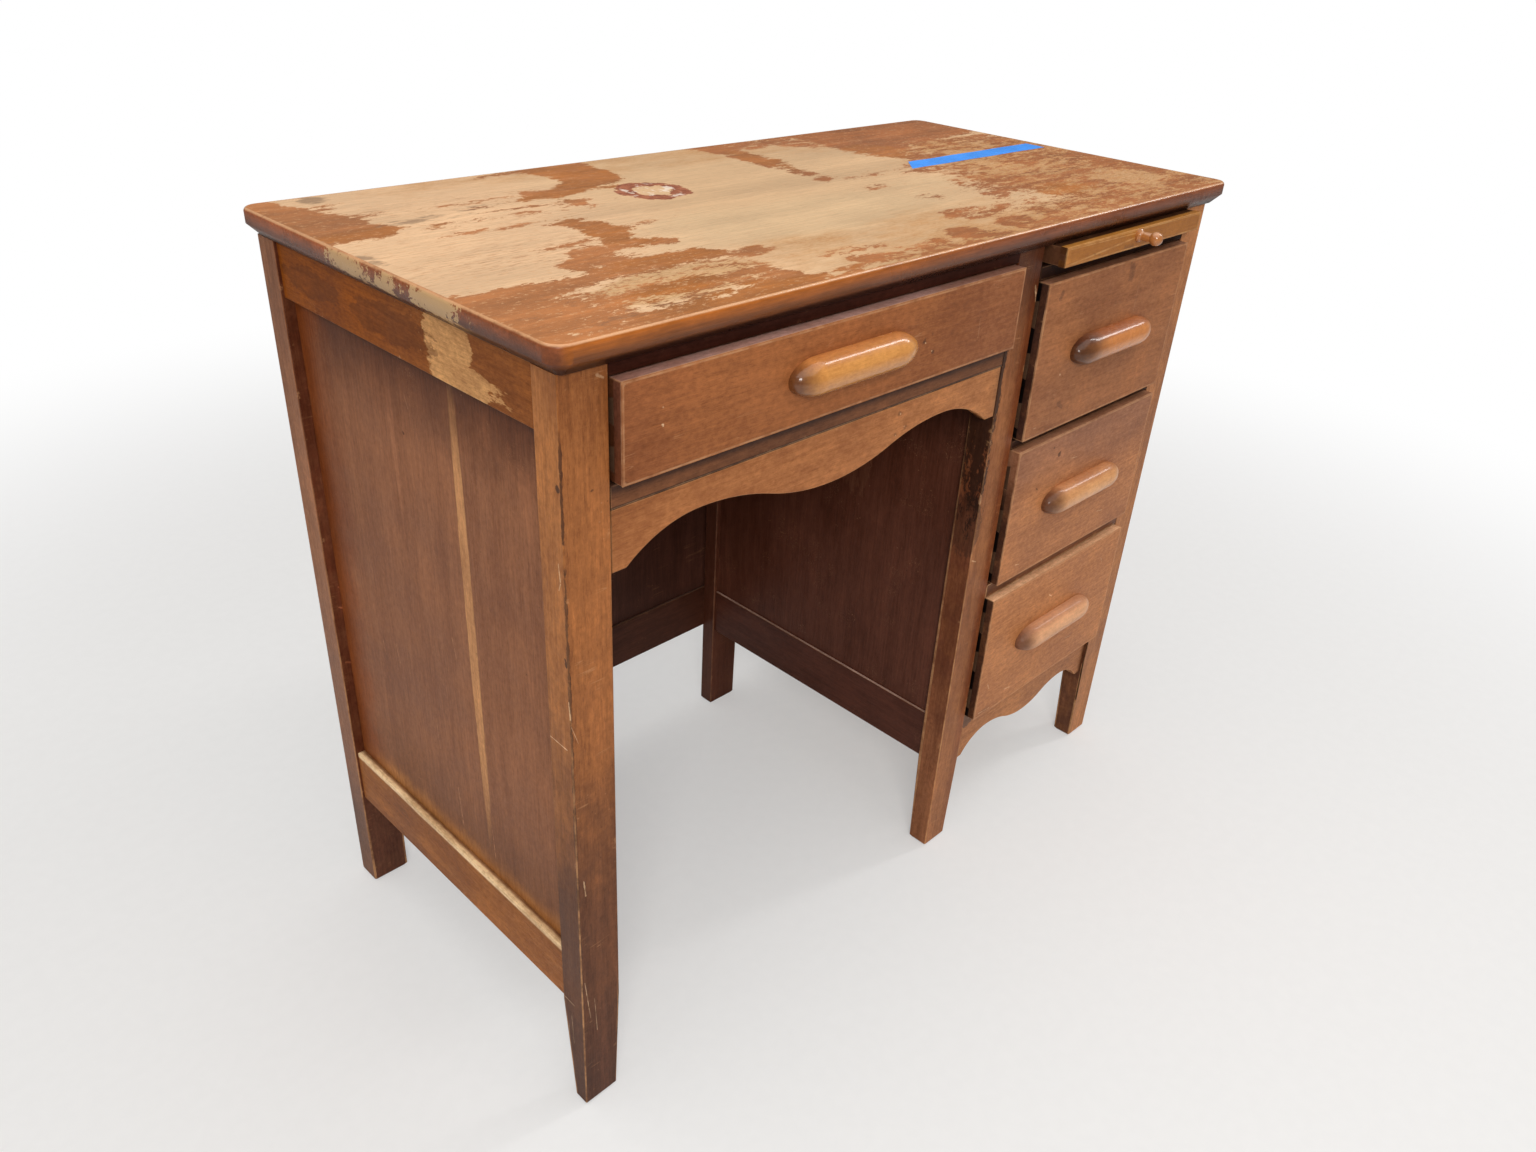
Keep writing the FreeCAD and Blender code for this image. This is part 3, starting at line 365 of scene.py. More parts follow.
def stained(node, kind, seed, marks=(), **changes):
    # wood of one board: the look of its kind with changes, and marks under the grain
    look = dict(zip(stainParts, stains[kind]), **changes)
    g = Graph("wood_" + node)
    low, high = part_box(node)
    tone, height, cloud = woodTone(g, look, seed)
    colour = g.add("RGB").outputs[0]
    colour.default_value = paint(*look["colour"])
    for mark in marks:
        colour = mark(g, colour, low, high)
    colour = toned(g, colour, tone)
    knock = g.noise(g.place, 55, 5, 0.68)
    worn = g.step(knock, 0.36, 0.62, 0.25, 1)
    eased, edge = shown[node] is not frame["nodes"][node], boxEdge(g, low, high)
    worn = g.times(worn, g.step(g.attribute("rub"), 0.1, 0.75) if eased else g.step(edge, 1.2, 0.2))
    chips = g.times(g.step(knock, 0.62, 0.66), g.step(edge, 5, 1))
    marked = g.most(scratches(g, seed, (25, 40, 20 + seed * 23), 260, 0.57),
                    g.times(specks(g, seed, 120, 0.12, 0.56), 0.8))
    thin = min(range(3), key=lambda k: high[k] - low[k])
    broad = g.math("ABSOLUTE", g.split(g.facing)[thin])
    marked = g.times(marked, g.step(broad, 0.6, 0.9))  # on the broad faces only
    worn = g.most(g.times(worn, look["wear"]), g.times(chips, look["wear"] * 0.6))
    worn = g.most(worn, g.times(marked, look.get("marked", 0.35)))
    colour = g.mix(worn, colour, paint(*look["worn"]))
    along = "xyz".index(look["grain"])
    if kind in ("rail", "apron", "panel", "inner"):
        run = g.split(g.place)[along]
        ends = g.least(g.minus(run, low[along]), g.minus(high[along], run))
        # darker near the ends of the grain, where pieces meet: grime with painted shade, and a dark joint line at the
        # very end
        grimeAndShade = g.times(g.step(ends, 0.02, 0.0), g.step(cloud, 0.35, 0.65, 0.05, 0.4))
        grimeAndShade = g.most(g.step(ends, 0.0012, 0.0005, 0, 0.75), grimeAndShade)
        colour = g.mix(grimeAndShade, colour, g.scaled(colour, 0.3))
    dots = specks(g, seed + 5, 70, 0.07, 0.52)
    colour = g.mix(g.times(dots, 0.6), colour, g.scaled(colour, 0.35))
    rough = g.step(cloud, 0.25, 0.75, *look["rough"])
    g.fill(g.shader, {
        "Base Color": colour, "Roughness": g.plus(worn, 0.15, rough), "Normal": g.bump(height, 0.0004, 0.5),
        "Specular IOR Level": look.get("shine", 0.16), "Coat Weight": look.get("coat", 0.0), "Coat Roughness": 0.12,
    })
    dress(node, g.material)


# marks that go under the grain: each returns a function that lays its colour over the one under it

def patch(spots, colour, share, ragged, seed, stretch=(1, 1, 1)):
    # ragged blobs, in mm from the board's low corner
    def mark(g, under, low, high):
        mask = g.step(g.patches(g.inMillimetres(low), spots, ragged, seed, stretch), -0.8, 0.8)
        return g.mix(g.times(mask, share), under, paint(*colour))
    return mark


def inFrame(x, y, z):
    # mm of the desk to metres of the frame
    return (Vector((x, y, z)) + deskCorner) / 1000


def inDesk(node):
    # low and high corner of a solid in mm of the desk
    return [end * 1000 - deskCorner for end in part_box(node)]


def onFront(y, *lines):
    # lines on a face that looks to the front: x, z, x and z of the end unless it is a dot, half width, share
    return [((line[0], y, line[1]), (line[-4], y, line[-3]), *line[-2:]) for line in lines]


def onLeft(x, *lines):
    # the same on a face that looks to the left, with y for x
    return [((x, line[0], line[1]), (x, line[-4], line[-3]), *line[-2:]) for line in lines]


def strokes(lines, colour, broken=0.5):
    # scratches, dents and holes: each line is start, end, half width in mm and share
    def mark(g, under, low, high):
        shake = g.noise(g.place, 230, 3, 0.6)
        gaps = g.noise(g.place, 90, 2, 0.6)
        total = None
        for start, end, wide, share in lines:
            start, end = inFrame(*start), inFrame(*end)
            run = end - start
            if run.length > 0.0045 and wide <= 2:
                wide *= 0.62  # long thin lines taper to less than their width
            away = g.vector("SUBTRACT", g.place, tuple(start))
            if run.length > 0.0005:
                part = g.math("DIVIDE", g.vector("DOT_PRODUCT", away, tuple(run)), run.length_squared, clamp=True)
                away = g.vector("SUBTRACT", away, g.scaled(tuple(run), part))
            gap = g.plus(g.minus(shake, 0.5), wide * 0.003, g.vector("LENGTH", away))
            line = g.step(gap, wide * 0.0013, wide * 0.0006, 0, share)
            total = line if total is None else g.most(total, line)
        total = g.times(total, g.step(gaps, 0.36, 0.46, 1 - broken, 1))
        return g.mix(total, under, paint(*colour))
    return mark


def arrisLine(xSide, ySide, start, end, colour, wide, share, most=0.5):
    # dirt or flecks down one upright arris of a post, between two heights in mm
    def mark(g, under, low, high):
        x, y, z = g.split(g.place)
        cornerX, cornerY = (low.x, high.x)[xSide > 0], (low.y, high.y)[ySide > 0]
        gap = g.most(g.gap(x, cornerX), g.gap(y, cornerY))
        shake = g.noise(g.vector("MULTIPLY", g.place, (1, 1, 0.35)), 210, 4, 0.65)
        there = g.noise(g.place, 38, 3, 0.7)
        gap = g.plus(g.minus(shake, 0.5), wide * 0.004, gap)
        line = g.times(g.step(gap, wide * 0.0012, wide * 0.0006), g.step(there, most, most + 0.12))
        span = g.times(g.step(z, start / 1000 - 0.03, start / 1000), g.step(z, end / 1000 + 0.03, end / 1000))
        return g.mix(g.times(line, span, share), under, paint(*colour))
    return mark


def fade(axis, start, end, colour, share, ragged=0.5):
    # colour that comes in from start to end along one axis
    def mark(g, under, low, high):
        k = "xyz".index(axis)
        value = g.plus(g.split(g.place)[k], 1000, -deskCorner[k])
        cloud = g.noise(g.place, 24, 4, 0.65)
        value = g.plus(g.minus(cloud, 0.5), (end - start) * ragged * 2, value)
        return g.mix(g.times(g.step(value, start, end), share), under, paint(*colour))
    return mark


def onFace(axis, sign, colour, share):
    # colour on the faces that look one way
    def mark(g, under, low, high):
        turned = g.times(g.split(g.facing)["xyz".index(axis)], sign)
        cloud = g.noise(g.place, 34, 4, 0.65)
        there = g.times(g.step(turned, 0.5, 0.9), g.step(cloud, 0.25, 0.6, share * 0.7, share))
        return g.mix(there, under, paint(*colour))
    return mark


def gapShade(depth, colour):
    # painted shade of the gap: the left end of a board goes dark from this depth in mm backwards
    def mark(g, under, low, high):
        turned = g.step(g.times(g.split(g.facing)[0], -1), 0.5, 0.9)
        back = g.step(g.split(g.place)[1], low.y + depth / 1000, low.y + (depth + 1) / 1000)
        return g.mix(g.times(turned, back), under, paint(*colour))
    return mark


shadow = (60, 34, 22)
dust = (246, 214, 168)
pale = (226, 190, 150)
# painted shade deep in the drawer gaps
gapShadeBlack = (14, 8, 7)

stained("post_front_left", "post", 1, [
    onFace("x", -1, (176, 114, 62), 0.6), fade("z", 520, 215, (86, 51, 34), 0.85),
    fade("z", 190, 20, (76, 45, 33), 0.7),
    # painted shade on the face towards the kneehole
    onFace("x", 1, (78, 46, 32), 0.9),
    arrisLine(-1, -1, 150, 680, (58, 34, 25), 1.5, 0.8, 0.34),
    strokes(onLeft(10.5, (43, 431, 20, 429.5, 0.7, 0.9), (20.5, 596, 19, 582, 0.7, 0.7), (19, 580, 21, 574, 0.6, 0.6),
                   (15, 478, 14, 462, 1, 0.8), (42, 131, 26, 130, 0.8, 0.6), (31, 112, 29, 76, 0.5, 0.5),
                   (36, 98, 35, 62, 0.5, 0.4))
            + onFront(13.5, (17, 290, 18.5, 272, 0.9, 0.6), (11, 455, 17, 436, 0.4, 0.5),
                      (14, 168, 19, 118, 0.6, 0.5), (24, 140, 26, 96, 0.5, 0.4), (43, 731, 48, 728, 1.8, 0.5)), pale),
    strokes(onLeft(10.5, (18, 656, 18, 655, 2.6, 0.8), (17, 516, 16, 510, 1.8, 0.8))
            + onFront(13.5, (36, 648, 1.6, 0.7)), (50, 30, 24), 0.1),
])
stained("post_rear_left", "post", 2, [
    onFace("y", -1, (88, 43, 25), 0.96), fade("z", 190, 60, (84, 52, 38), 0.6),
    strokes(onFront(409.5, (20, 395, 36, 384, 1, 0.5), (18, 372, 34, 362, 1.2, 0.5), (22, 330, 38, 322, 1, 0.4),
                    (16, 306, 30, 300, 1.4, 0.4)), (176, 104, 70)),
], colour=(148, 98, 67))
stained("post_inner_front", "post", 3, [
    # the first fade is a stain; the faces towards the kneehole and the drawer gap get painted shade
    fade("x", 558, 571, (128, 68, 35), 0.92), onFace("x", -1, (110, 61, 39), 0.94), onFace("x", 1, (40, 24, 18), 0.9),
    fade("z", 300, 60, (161, 106, 69), 0.5),
    # darker towards the top: painted shadow of the top's overhang
    fade("z", 650, 725, (92, 50, 30), 0.85, 0.2),
    patch([(-2, 12, 446, 12, 22, 34, 7)], (48, 31, 24), 0.5, (8, 12, 10), 5, (1, 1, 0.4)),
    patch([(-2, 14, 590, 7, 40, 116, 7)], (46, 26, 17), 0.9, (8, 12, 10), 4, (1, 1, 0.4)),
    arrisLine(-1, -1, 400, 520, (196, 150, 112), 1.2, 0.6, 0.5),
    strokes(onFront(13.5, (572, 700, 575, 692, 1.8, 0.9), (575, 690, 576, 684, 1.2, 0.7),
                    (538, 408, 546, 404, 0.9, 0.6)), pale),
], colour=(153, 96, 56))
stained("post_inner_rear", "inner", 4, [onFace("y", -1, (96, 52, 34), 0.5)])
# painted shade on the face towards the drawers
stained("post_front_right", "post", 5, [onFace("x", -1, (84, 50, 36), 0.92)], colour=(177, 116, 70))
stained("post_rear_right", "post", 6, colour=(150, 98, 62))

stained("left_upper_rail", "rail", 10, [
    fade("y", 300, 120, (140, 83, 40), 0.75),
    patch([(0, 121, 34, 30, 33, 26, 30), (0, 108, 8, 30, 40, 17, 30), (0, 84, 16, 30, 30, 4, 5),
           (0, 78, 8, 30, 22, 3, 5)],
          (202, 150, 96), 0.96, (6, 10, 8), 6, (1, 0.25, 1)),
    strokes(onLeft(20, (55, 702, 3, 0.85)), pale, 0.1),
    patch([(0, 200, 24, 30, 60, 14, 7), (0, 330, 26, 30, 50, 12, 7)], (96, 50, 22), 0.5, (6, 20, 8), 8, (1, 0.4, 1)),
], grain="y", colour=(136, 72, 20), shine=0.08)
stained("left_lower_rail", "rail", 11, [
    fade("z", 181.5, 184.5, dust, 0.9, 0.3), onFace("z", 1, dust, 0.97), fade("x", 17, 20, (150, 98, 60), 0.85, 0.3),
], grain="y", colour=(155, 96, 50), shine=0.08)
stained("left_panel", "panel", 12, [
    patch([(0, 127, 300, 30, 6, 300, 5)], (210, 152, 98), 0.7, (7, 4, 1), 7, (1, 1, 0.1)),
    patch([(0, 224, 470, 30, 5, 110, 4)], (176, 116, 80), 0.4, (7, 4, 1), 3, (1, 1, 0.1)),
    fade("z", 300, 215, (122, 76, 46), 0.7, 0.4),
    fade("z", 214, 186, (180, 120, 66), 0.85, 0.7),
    # darker under the top: painted shade of the overhang, with grime
    fade("z", 600, 690, (84, 44, 24), 0.9, 0.3),
    fade("y", 345, 404, (130, 66, 26), 0.85),
    strokes(onLeft(21, (304, 380, 300, 360, 0.8, 0.4), (330, 372, 327, 356, 0.9, 0.4), (243, 330, 241, 292, 0.9, 0.4),
                   (198, 440, 194, 420, 1, 0.4), (236, 655, 231, 642, 0.6, 0.4), (214, 520, 210, 508, 0.6, 0.4),
                   (215, 260, 212, 215, 1.1, 0.45), (160, 250, 158, 210, 0.9, 0.4)), (216, 160, 118)),
    strokes(onLeft(21, (243, 617, 1.6, 0.8)), shadow, 0),
], colour=(144, 93, 62), marked=0.5)
stained("inner_upper_rail", "inner", 13, grain="y", colour=(70, 40, 28))
stained("inner_lower_rail", "inner", 14, [onFace("z", 1, (206, 174, 158), 0.9)], grain="y", colour=(84, 46, 34))
stained("inner_panel", "inner", 15, [
    patch([(0, 150, 330, 30, 26, 90, 2)], (120, 78, 58), 0.5, (20, 20, 12), 8, (1, 1, 0.3)),
    # darker towards the top: painted shadow in the kneehole
    fade("z", 480, 610, (44, 25, 19), 0.85, 0.3),
], colour=(92, 52, 38), marked=0.6)
stained("right_upper_rail", "rail", 16, grain="y", colour=(128, 76, 38))
stained("right_lower_rail", "rail", 17, [onFace("z", 1, dust, 0.8)], grain="y", colour=(146, 94, 58))
stained("right_panel", "panel", 18, [
    # the first fade, darker under the top, is painted shade of the overhang with grime
    fade("z", 640, 700, (104, 62, 40), 0.8), fade("z", 236, 192, (176, 124, 80), 0.6),
])
stained("back_upper_rail", "inner", 22, grain="x", colour=(104, 62, 40))
stained("back_lower_rail", "inner", 23, [onFace("z", 1, (120, 96, 84), 0.7)], grain="x", colour=(76, 43, 31))
stained("back_panel", "inner", 24, colour=(74, 43, 33))
# stained near black: painted shade under the top
stained("front_top_rail", "rail", 26, colour=(58, 27, 18), marked=0.0, wear=0.1, shine=0.04)
stained("knee_rail", "rail", 27, [
    # the first fade is painted shadow under the drawer front; the second is a dark joint line
    fade("z", 634, 643, (50, 30, 22), 0.9, 0.05), fade("z", 629.6, 628.4, (40, 24, 18), 0.9, 0.05),
], colour=(112, 69, 42), marked=0.0, wear=0.3)
# stained near black: painted shade of the gap it sits in
stained("slide_rail", "rail", 28, colour=(44, 24, 17), marked=0.0, wear=0.1, shine=0.04)
# stained near black: painted shade of the gap between the drawers
stained("drawer_rail_one", "rail", 29, colour=(52, 30, 22), marked=0.0, wear=0.2, shine=0.06)
stained("drawer_rail_two", "rail", 30, colour=(120, 76, 50), marked=0.9)
stained("knee_apron", "apron", 32, [
    fade("x", 526, 534, (96, 56, 36), 0.6, 0.2),
    strokes(onFront(13.5, (379.4, 618, 2.4, 0.65), (389.4, 602, 2.4, 0.65), (375.8, 598, 2, 0.6)), (66, 40, 28), 0),
    strokes(onFront(13.5, (380.6, 617, 0.9, 0.7), (388.2, 603, 0.9, 0.7), (376.6, 597, 0.8, 0.6)), pale, 0),
    fade("x", 300, 520, (184, 122, 74), 0.7),
], worn=(196, 140, 94), wear=0.6, marked=0.15)
stained("pedestal_apron", "apron", 33, [
    patch([(10, 0, 54, 14, 30, 10, 6)], (100, 74, 62), 0.8, (10, 12, 8), 9),
    fade("x", 852, 862, (88, 50, 34), 0.8, 0.2),
], colour=(182, 120, 73))
print("frame finished")


# drawers and slide

frontLook = {
    # side is the left end of each front, stained dark: painted shade beside the frame
    "wide": dict(colour=(149, 90, 50), top=(176, 136, 126), side=(78, 52, 48)),
    "one": dict(colour=(156, 100, 62), top=(150, 106, 82), side=(52, 32, 28)),
    "two": dict(colour=(182, 120, 76), top=(204, 154, 122), side=(56, 34, 28)),
    "three": dict(colour=(188, 124, 77), top=(236, 184, 142), side=(62, 38, 30)),
}
frontMarks = {
    "wide": [
        strokes(onFront(3.5, (389.3, 684.7, 2.4, 0.65), (402.9, 672.8, 2.4, 0.65), (400, 690, 1.4, 0.4)),
                (60, 36, 26), 0),
        strokes(onFront(3.5, (390.8, 683.4, 391.2, 683, 0.9, 0.7), (401.6, 674, 0.9, 0.6)), pale, 0),
        strokes(onFront(3.5, (92, 686, 92.6, 685, 1, 0.9), (92, 699, 92, 698.6, 0.7, 0.5),
                        (470, 690, 471, 672, 0.5, 0.4)), pale),
        # the first fade, darker towards the left end, is painted shade
        fade("x", 150, 60, (130, 74, 44), 0.4), fade("x", 380, 500, (150, 94, 60), 0.5),
    ],
    "one": [
        strokes(onFront(3.5, (742, 694, 744, 684, 6, 0.5), (610, 690, 606, 684, 3, 0.5),
                        (640, 566, 648, 560, 3, 0.4)), (84, 54, 40), 0.3),
        strokes(onFront(3.5, (764, 690, 765, 640, 0.4, 0.25), (598, 548, 602, 547.5, 0.8, 0.5),
                        (632, 600, 633, 599, 0.9, 0.5)), pale),
    ],
    "two": [
        fade("z", 440, 520, (154, 104, 76), 0.85, 0.3),
        strokes(onFront(3.5, (664, 501, 664, 500, 2.4, 0.75), (650, 512, 1.4, 0.6),
                        (628, 470, 630, 468, 1, 0.6)), shadow, 0),
        strokes(onFront(3.5, (690, 488, 704, 486, 0.6, 0.6), (782, 392, 794, 390, 0.7, 0.6),
                        (612, 380, 620, 378, 0.8, 0.6)), pale),
    ],
    "three": [
        strokes(onFront(3.5, (600, 222, 604, 214, 0.9, 0.7), (640, 196, 652, 194, 0.8, 0.7),
                        (706, 304, 712, 300, 0.9, 0.7), (770, 214, 784, 212, 0.8, 0.7),
                        (822, 312, 826, 306, 0.9, 0.6), (590, 184, 612, 182, 1, 0.8)), pale),
    ],
}
for seed, (name, look) in enumerate(frontLook.items(), start=50):
    drawer = "drawer_" + name
    stained(drawer + "_front", "front", seed, [
        # dusty top face; painted shade on the left end, the underside and deep in the gap
        onFace("z", 1, look["top"], 0.95), onFace("x", -1, look["side"], 0.95), onFace("z", -1, shadow, 0.7),
        gapShade(8.2, gapShadeBlack),
    ] + frontMarks[name], colour=look["colour"], marked=0.3)
    low, high = inDesk(drawer + "_side_left")
    # dovetails near the front go dark: painted shade of the gap beside the drawer front
    tailShade = fade("y", low.y + 16, low.y + 13, (66, 40, 28), 0.95, 0.2)
    for part, axis in (("side_left", "y"), ("side_right", "y"), ("back", "x"), ("bottom", "x")):
        stained(drawer + "_" + part, "bare", seed + 20, [tailShade] if "side" in part else [], grain=axis, wear=0.05,
                marked=0.1)


pullLook = {
    # colour, dark of the left end, colour of the upper side, painted shade of the underside
    "wide": dict(reach=24, colour=(214, 148, 76), end=(100, 56, 32), top=(186, 116, 64), under=(104, 56, 26),
                 coat=0.8, rough=(0.24, 0.34)),
    "one": dict(reach=62, colour=(214, 138, 74), end=(54, 26, 18), top=(146, 80, 50), under=(92, 46, 26), coat=0.55,
                rough=(0.24, 0.34)),
    "two": dict(reach=34, colour=(226, 166, 112), end=(88, 50, 34), top=(186, 122, 80), under=(110, 64, 40),
                coat=0.3, rough=(0.26, 0.38)),
    "three": dict(reach=30, colour=(220, 164, 122), end=(104, 66, 48), top=(180, 124, 90), under=(120, 76, 54),
                  coat=0.15, rough=(0.36, 0.5)),
}
for seed, (name, look) in enumerate(pullLook.items(), start=60):
    low, high = inDesk("drawer_" + name + "_pull")
    stained("drawer_" + name + "_pull", "pull", seed, [
        # the underside gets painted shade
        onFace("z", 1, look["top"], 0.8), onFace("z", -1, look["under"], 0.85),
        fade("x", low.x + look["reach"], low.x + 1, look["end"], 0.92, 0.3),
        fade("x", high.x - 6, high.x + 6, look["end"], 0.5, 0.25),
    ], colour=look["colour"], coat=look["coat"], rough=look["rough"], marked=0.0)
low, high = inDesk("slide_strip")
stained("slide_strip", "pull", 64, [
    fade("x", low.x + 10, low.x + 3, (190, 124, 54), 0.7, 0.2), onFace("x", -1, (62, 34, 22), 0.95),
    onFace("z", 1, (196, 136, 66), 0.6),
    strokes(onFront(-4.5, (700, 722, 716, 721, 2.2, 0.4), (640, 724, 652, 722, 2, 0.35)), (84, 54, 34), 0.4),
], coat=0.12, rough=(0.28, 0.42), colour=(168, 106, 40), wear=0.5, marked=0.0)
low, high = inDesk("slide_board")
# the front part of the board goes dark: painted shade of the gap under the top
stained("slide_board", "front", 65, [fade("y", low.y + 52, low.y + 32, (74, 44, 30), 0.9, 0.3)],
        colour=(158, 104, 62), wear=0.15, marked=0.2)
stained("slide_knob", "pull", 66, [onFace("z", 1, (214, 176, 146), 0.4)], grain="y", coat=1.0, colour=(176, 112, 60),
        rough=(0.14, 0.24), marked=0.0)
for seed, level in enumerate(("one", "two", "three", "wide", "slide"), start=80):
    stained("runners_" + level, "bare", seed)
stained("glue_blocks", "bare", 86, grain="x")
print("drawers and slide finished")


# plank top: bare wood with what is left of the varnish

topLook = {
    "net": (5, 3),
    # thickness of what is left, and its outline in mm from the front left corner
    "held": [
        (30, [(-20, 289), (54, 288), (78, 304), (64, 328), (62, 350), (50, 372), (44, 394), (32, 418), (20, 470),
              (-20, 470)]),
        (30, [(262, 470), (276, 428), (288, 402), (284, 378), (264, 358), (226, 364), (208, 330), (246, 321),
              (292, 342), (344, 353), (352, 376), (358, 470)]),
        (30, [(-20, -20), (-20, 127), (108, 119), (150, 129), (226, 127), (250, 110), (238, 93), (246, 60),
              (256, 20), (262, -20)]),
        (10, [(112, 126), (106, 140), (128, 158), (142, 178), (168, 178), (178, 160), (168, 140), (184, 126)]),
        (7, [(176, 122), (182, 150), (234, 150), (240, 160), (206, 176), (224, 204), (222, 232), (200, 256),
             (176, 250), (192, 222), (188, 196), (176, 170)]),
        (30, [(655, 470), (664, 380), (660, 340), (668, 306), (690, 262), (752, 262), (764, 300), (770, 330),
              (860, 334), (940, 350), (940, 470)]),
        (7, [(498, 470), (512, 418), (516, 392), (548, 388), (560, 404), (600, 404), (636, 372), (664, 380),
             (660, 470)]),
        (9, [(514, 392), (518, 350), (514, 322), (544, 318), (552, 346), (550, 392)]),
    ],
    # x, y, half length, half depth, thickness and turn if any, for this list and those after it
    "bits": [
        (240, 308, 20, 7, 6), (247, 293, 8, 12, 6), (226, 303, 10, 4, 2), (196, 296, 24, 3, 2), (205, 310, 22, 3, 2),
        (196, 287, 14, 3, 1), (150, 300, 12, 5, 2), (154, 291, 8, 3, 1), (108, 301, 18, 4, 2), (94, 290, 8, 3, 1),
        (170, 332, 12, 3, 1), (300, 337, 20, 3, 1), (262, 436, 34, 8, 1), (528, 286, 10, 20, 6), (524, 250, 8, 8, 5),
        (528, 306, 12, 9, 2), (590, 238, 10, 3, 1), (548, 242, 8, 3, 1), (192, 248, 20, 6, 3), (130, 262, 26, 3, 0),
        (182, 350, 24, 4, -1), (58, 350, 10, 4, 2), (64, 362, 8, 3, 2), (52, 392, 8, 3, 1), (54, 404, 8, 3, 1),
        (262, 212, 18, 3, 0), (150, 190, 22, 4, 1), (548, 145, 6, 4, 2), (540, 195, 10, 3, -1),
        (800, 296, 60, 22, 3), (880, 316, 70, 14, 4), (900, 280, 40, 26, 2), (700, 206, 34, 22, 3),
        (690, 228, 50, 8, 3), (860, 204, 90, 30, 2), (900, 170, 40, 60, 3), (690, 128, 66, 34, 4, -8),
        (705, 84, 34, 26, 7), (636, 118, 18, 26, 3, -30), (770, 128, 60, 18, 2), (770, 78, 22, 22, 3),
        (900, 110, 40, 50, 7), (640, 30, 50, 24, 1), (760, 20, 120, 20, 1), (890, 20, 60, 30, 3),
        (326, 26, 18, 14, 5), (330, 48, 30, 6, 0), (400, 22, 50, 8, 1), (468, 26, 20, 18, 3), (545, 28, 26, 18, 4),
        (620, 12, 60, 12, 2), (770, 150, 130, 54, -2), (860, 236, 60, 34, 2), (700, 60, 110, 36, -2),
        (720, 236, 60, 16, 1), (532, 76, 28, 20, 2), (580, 70, 26, 8, 2), (256, 92, 26, 10, 3), (560, 140, 10, 6, 2),
        (420, 8, 240, 10, 1),
    ],
    "gone": [
        (118, 82, 46, 11, 2, 6), (204, 80, 50, 16, 2), (112, 36, 26, 9, 1, 10), (184, 30, 36, 7, 0, 8),
        (30, 60, 60, 60, -7), (190, 142, 26, 16, 4), (604, 350, 50, 46, 20), (838, 78, 48, 36, 7),
        (800, 160, 60, 24, 2), (762, 306, 12, 30, 3, -20), (800, 296, 70, 22, 1), (720, 214, 40, 22, 0),
    ],
    "dirty": [
        (88, 320, 26, 8, 6), (108, 324, 20, 7, 2, 4), (160, 333, 26, 8, 2, 3), (120, 312, 22, 4, 0, 10),
        (58, 428, 16, 14, 6), (40, 60, 30, 8, -1, 20), (100, 26, 60, 7, 1, 5), (6, 236, 8, 18, 3),
    ],
    "yellow": [(400, 150, 190, 60, 30), (300, 190, 80, 30, 30), (600, 180, 60, 26, 10)],
    "amber": [
        (148, 52, 44, 15, 10, 6), (180, 14, 90, 16, 8), (200, 114, 64, 14, 8), (40, 304, 66, 16, 8),
        (205, 210, 26, 60, 4), (310, 380, 60, 60, 3), (236, 330, 36, 20, 8), (716, 84, 40, 22, 8),
        (690, 320, 40, 40, 2), (540, 350, 20, 60, 4),
    ],
    "olive": [(160, 62, 92, 38, 30, 4)],
    "flecked": [(105, 186, 120, 42, 30), (150, 356, 110, 26, 8), (120, 272, 120, 22, 0), (60, 240, 60, 20, 4)],
    "glaze": [
        (620, -50, 420, 112, 40), (860, 130, 200, 200, 60), (700, 420, 300, 40, 12), (420, 60, 200, 40, 4),
        (210, 425, 60, 26, 6), (810, 285, 120, 60, 30),
    ],
    "ring": dict(x=337, y=302, radius=28, wide=8.5),
    "seam": 212,
    "bare": paint(226, 187, 147), "bareMiddle": paint(212, 176, 136), "yellowTint": paint(216, 184, 144),
    "fleck": paint(180, 126, 88), "oliveTint": paint(194, 152, 104), "thin": paint(188, 134, 80),
    "left": paint(176, 110, 60), "right": paint(164, 96, 48), "amberTint": paint(170, 102, 42),
    "chip": paint(214, 166, 122), "dirt": paint(118, 92, 72),
    "ringRed": paint(128, 58, 36), "ringBrown": paint(168, 96, 66), "ringWhite": paint(240, 224, 208),
    "nose": paint(140, 78, 46), "noseLeft": paint(170, 96, 38), "noseUnderShade": paint(58, 30, 20),
    "arris": paint(214, 160, 112), "cream": paint(204, 166, 118),
}


def outlineDepth(outline, x, y):
    # how deep in mm a place lies inside an outline, below 0 outside it
    near, inside = 1e9, False
    for (ax, ay), (bx, by) in zip(outline, outline[1:] + outline[:1]):
        dx, dy = bx - ax, by - ay
        t = min(1, max(0, ((x - ax) * dx + (y - ay) * dy) / (dx * dx + dy * dy)))
        near = min(near, math.hypot(x - ax - t * dx, y - ay - t * dy))
        if (ay > y) != (by > y) and x < ax + (y - ay) * dx / dy:
            inside = not inside
    return near if inside else -near


def blobDepth(spots, x, y):
    # the same for a list of round or long blobs
    depth = -60
    for a, b, rx, ry, most, *turn in spots:
        angle = math.radians(sum(turn))
        along = ((x - a) * math.cos(angle) + (y - b) * math.sin(angle)) / rx
        across = ((y - b) * math.cos(angle) - (x - a) * math.sin(angle)) / ry
        depth = max(depth, min((1 - math.hypot(along, across)) * min(rx, ry), most))
    return depth


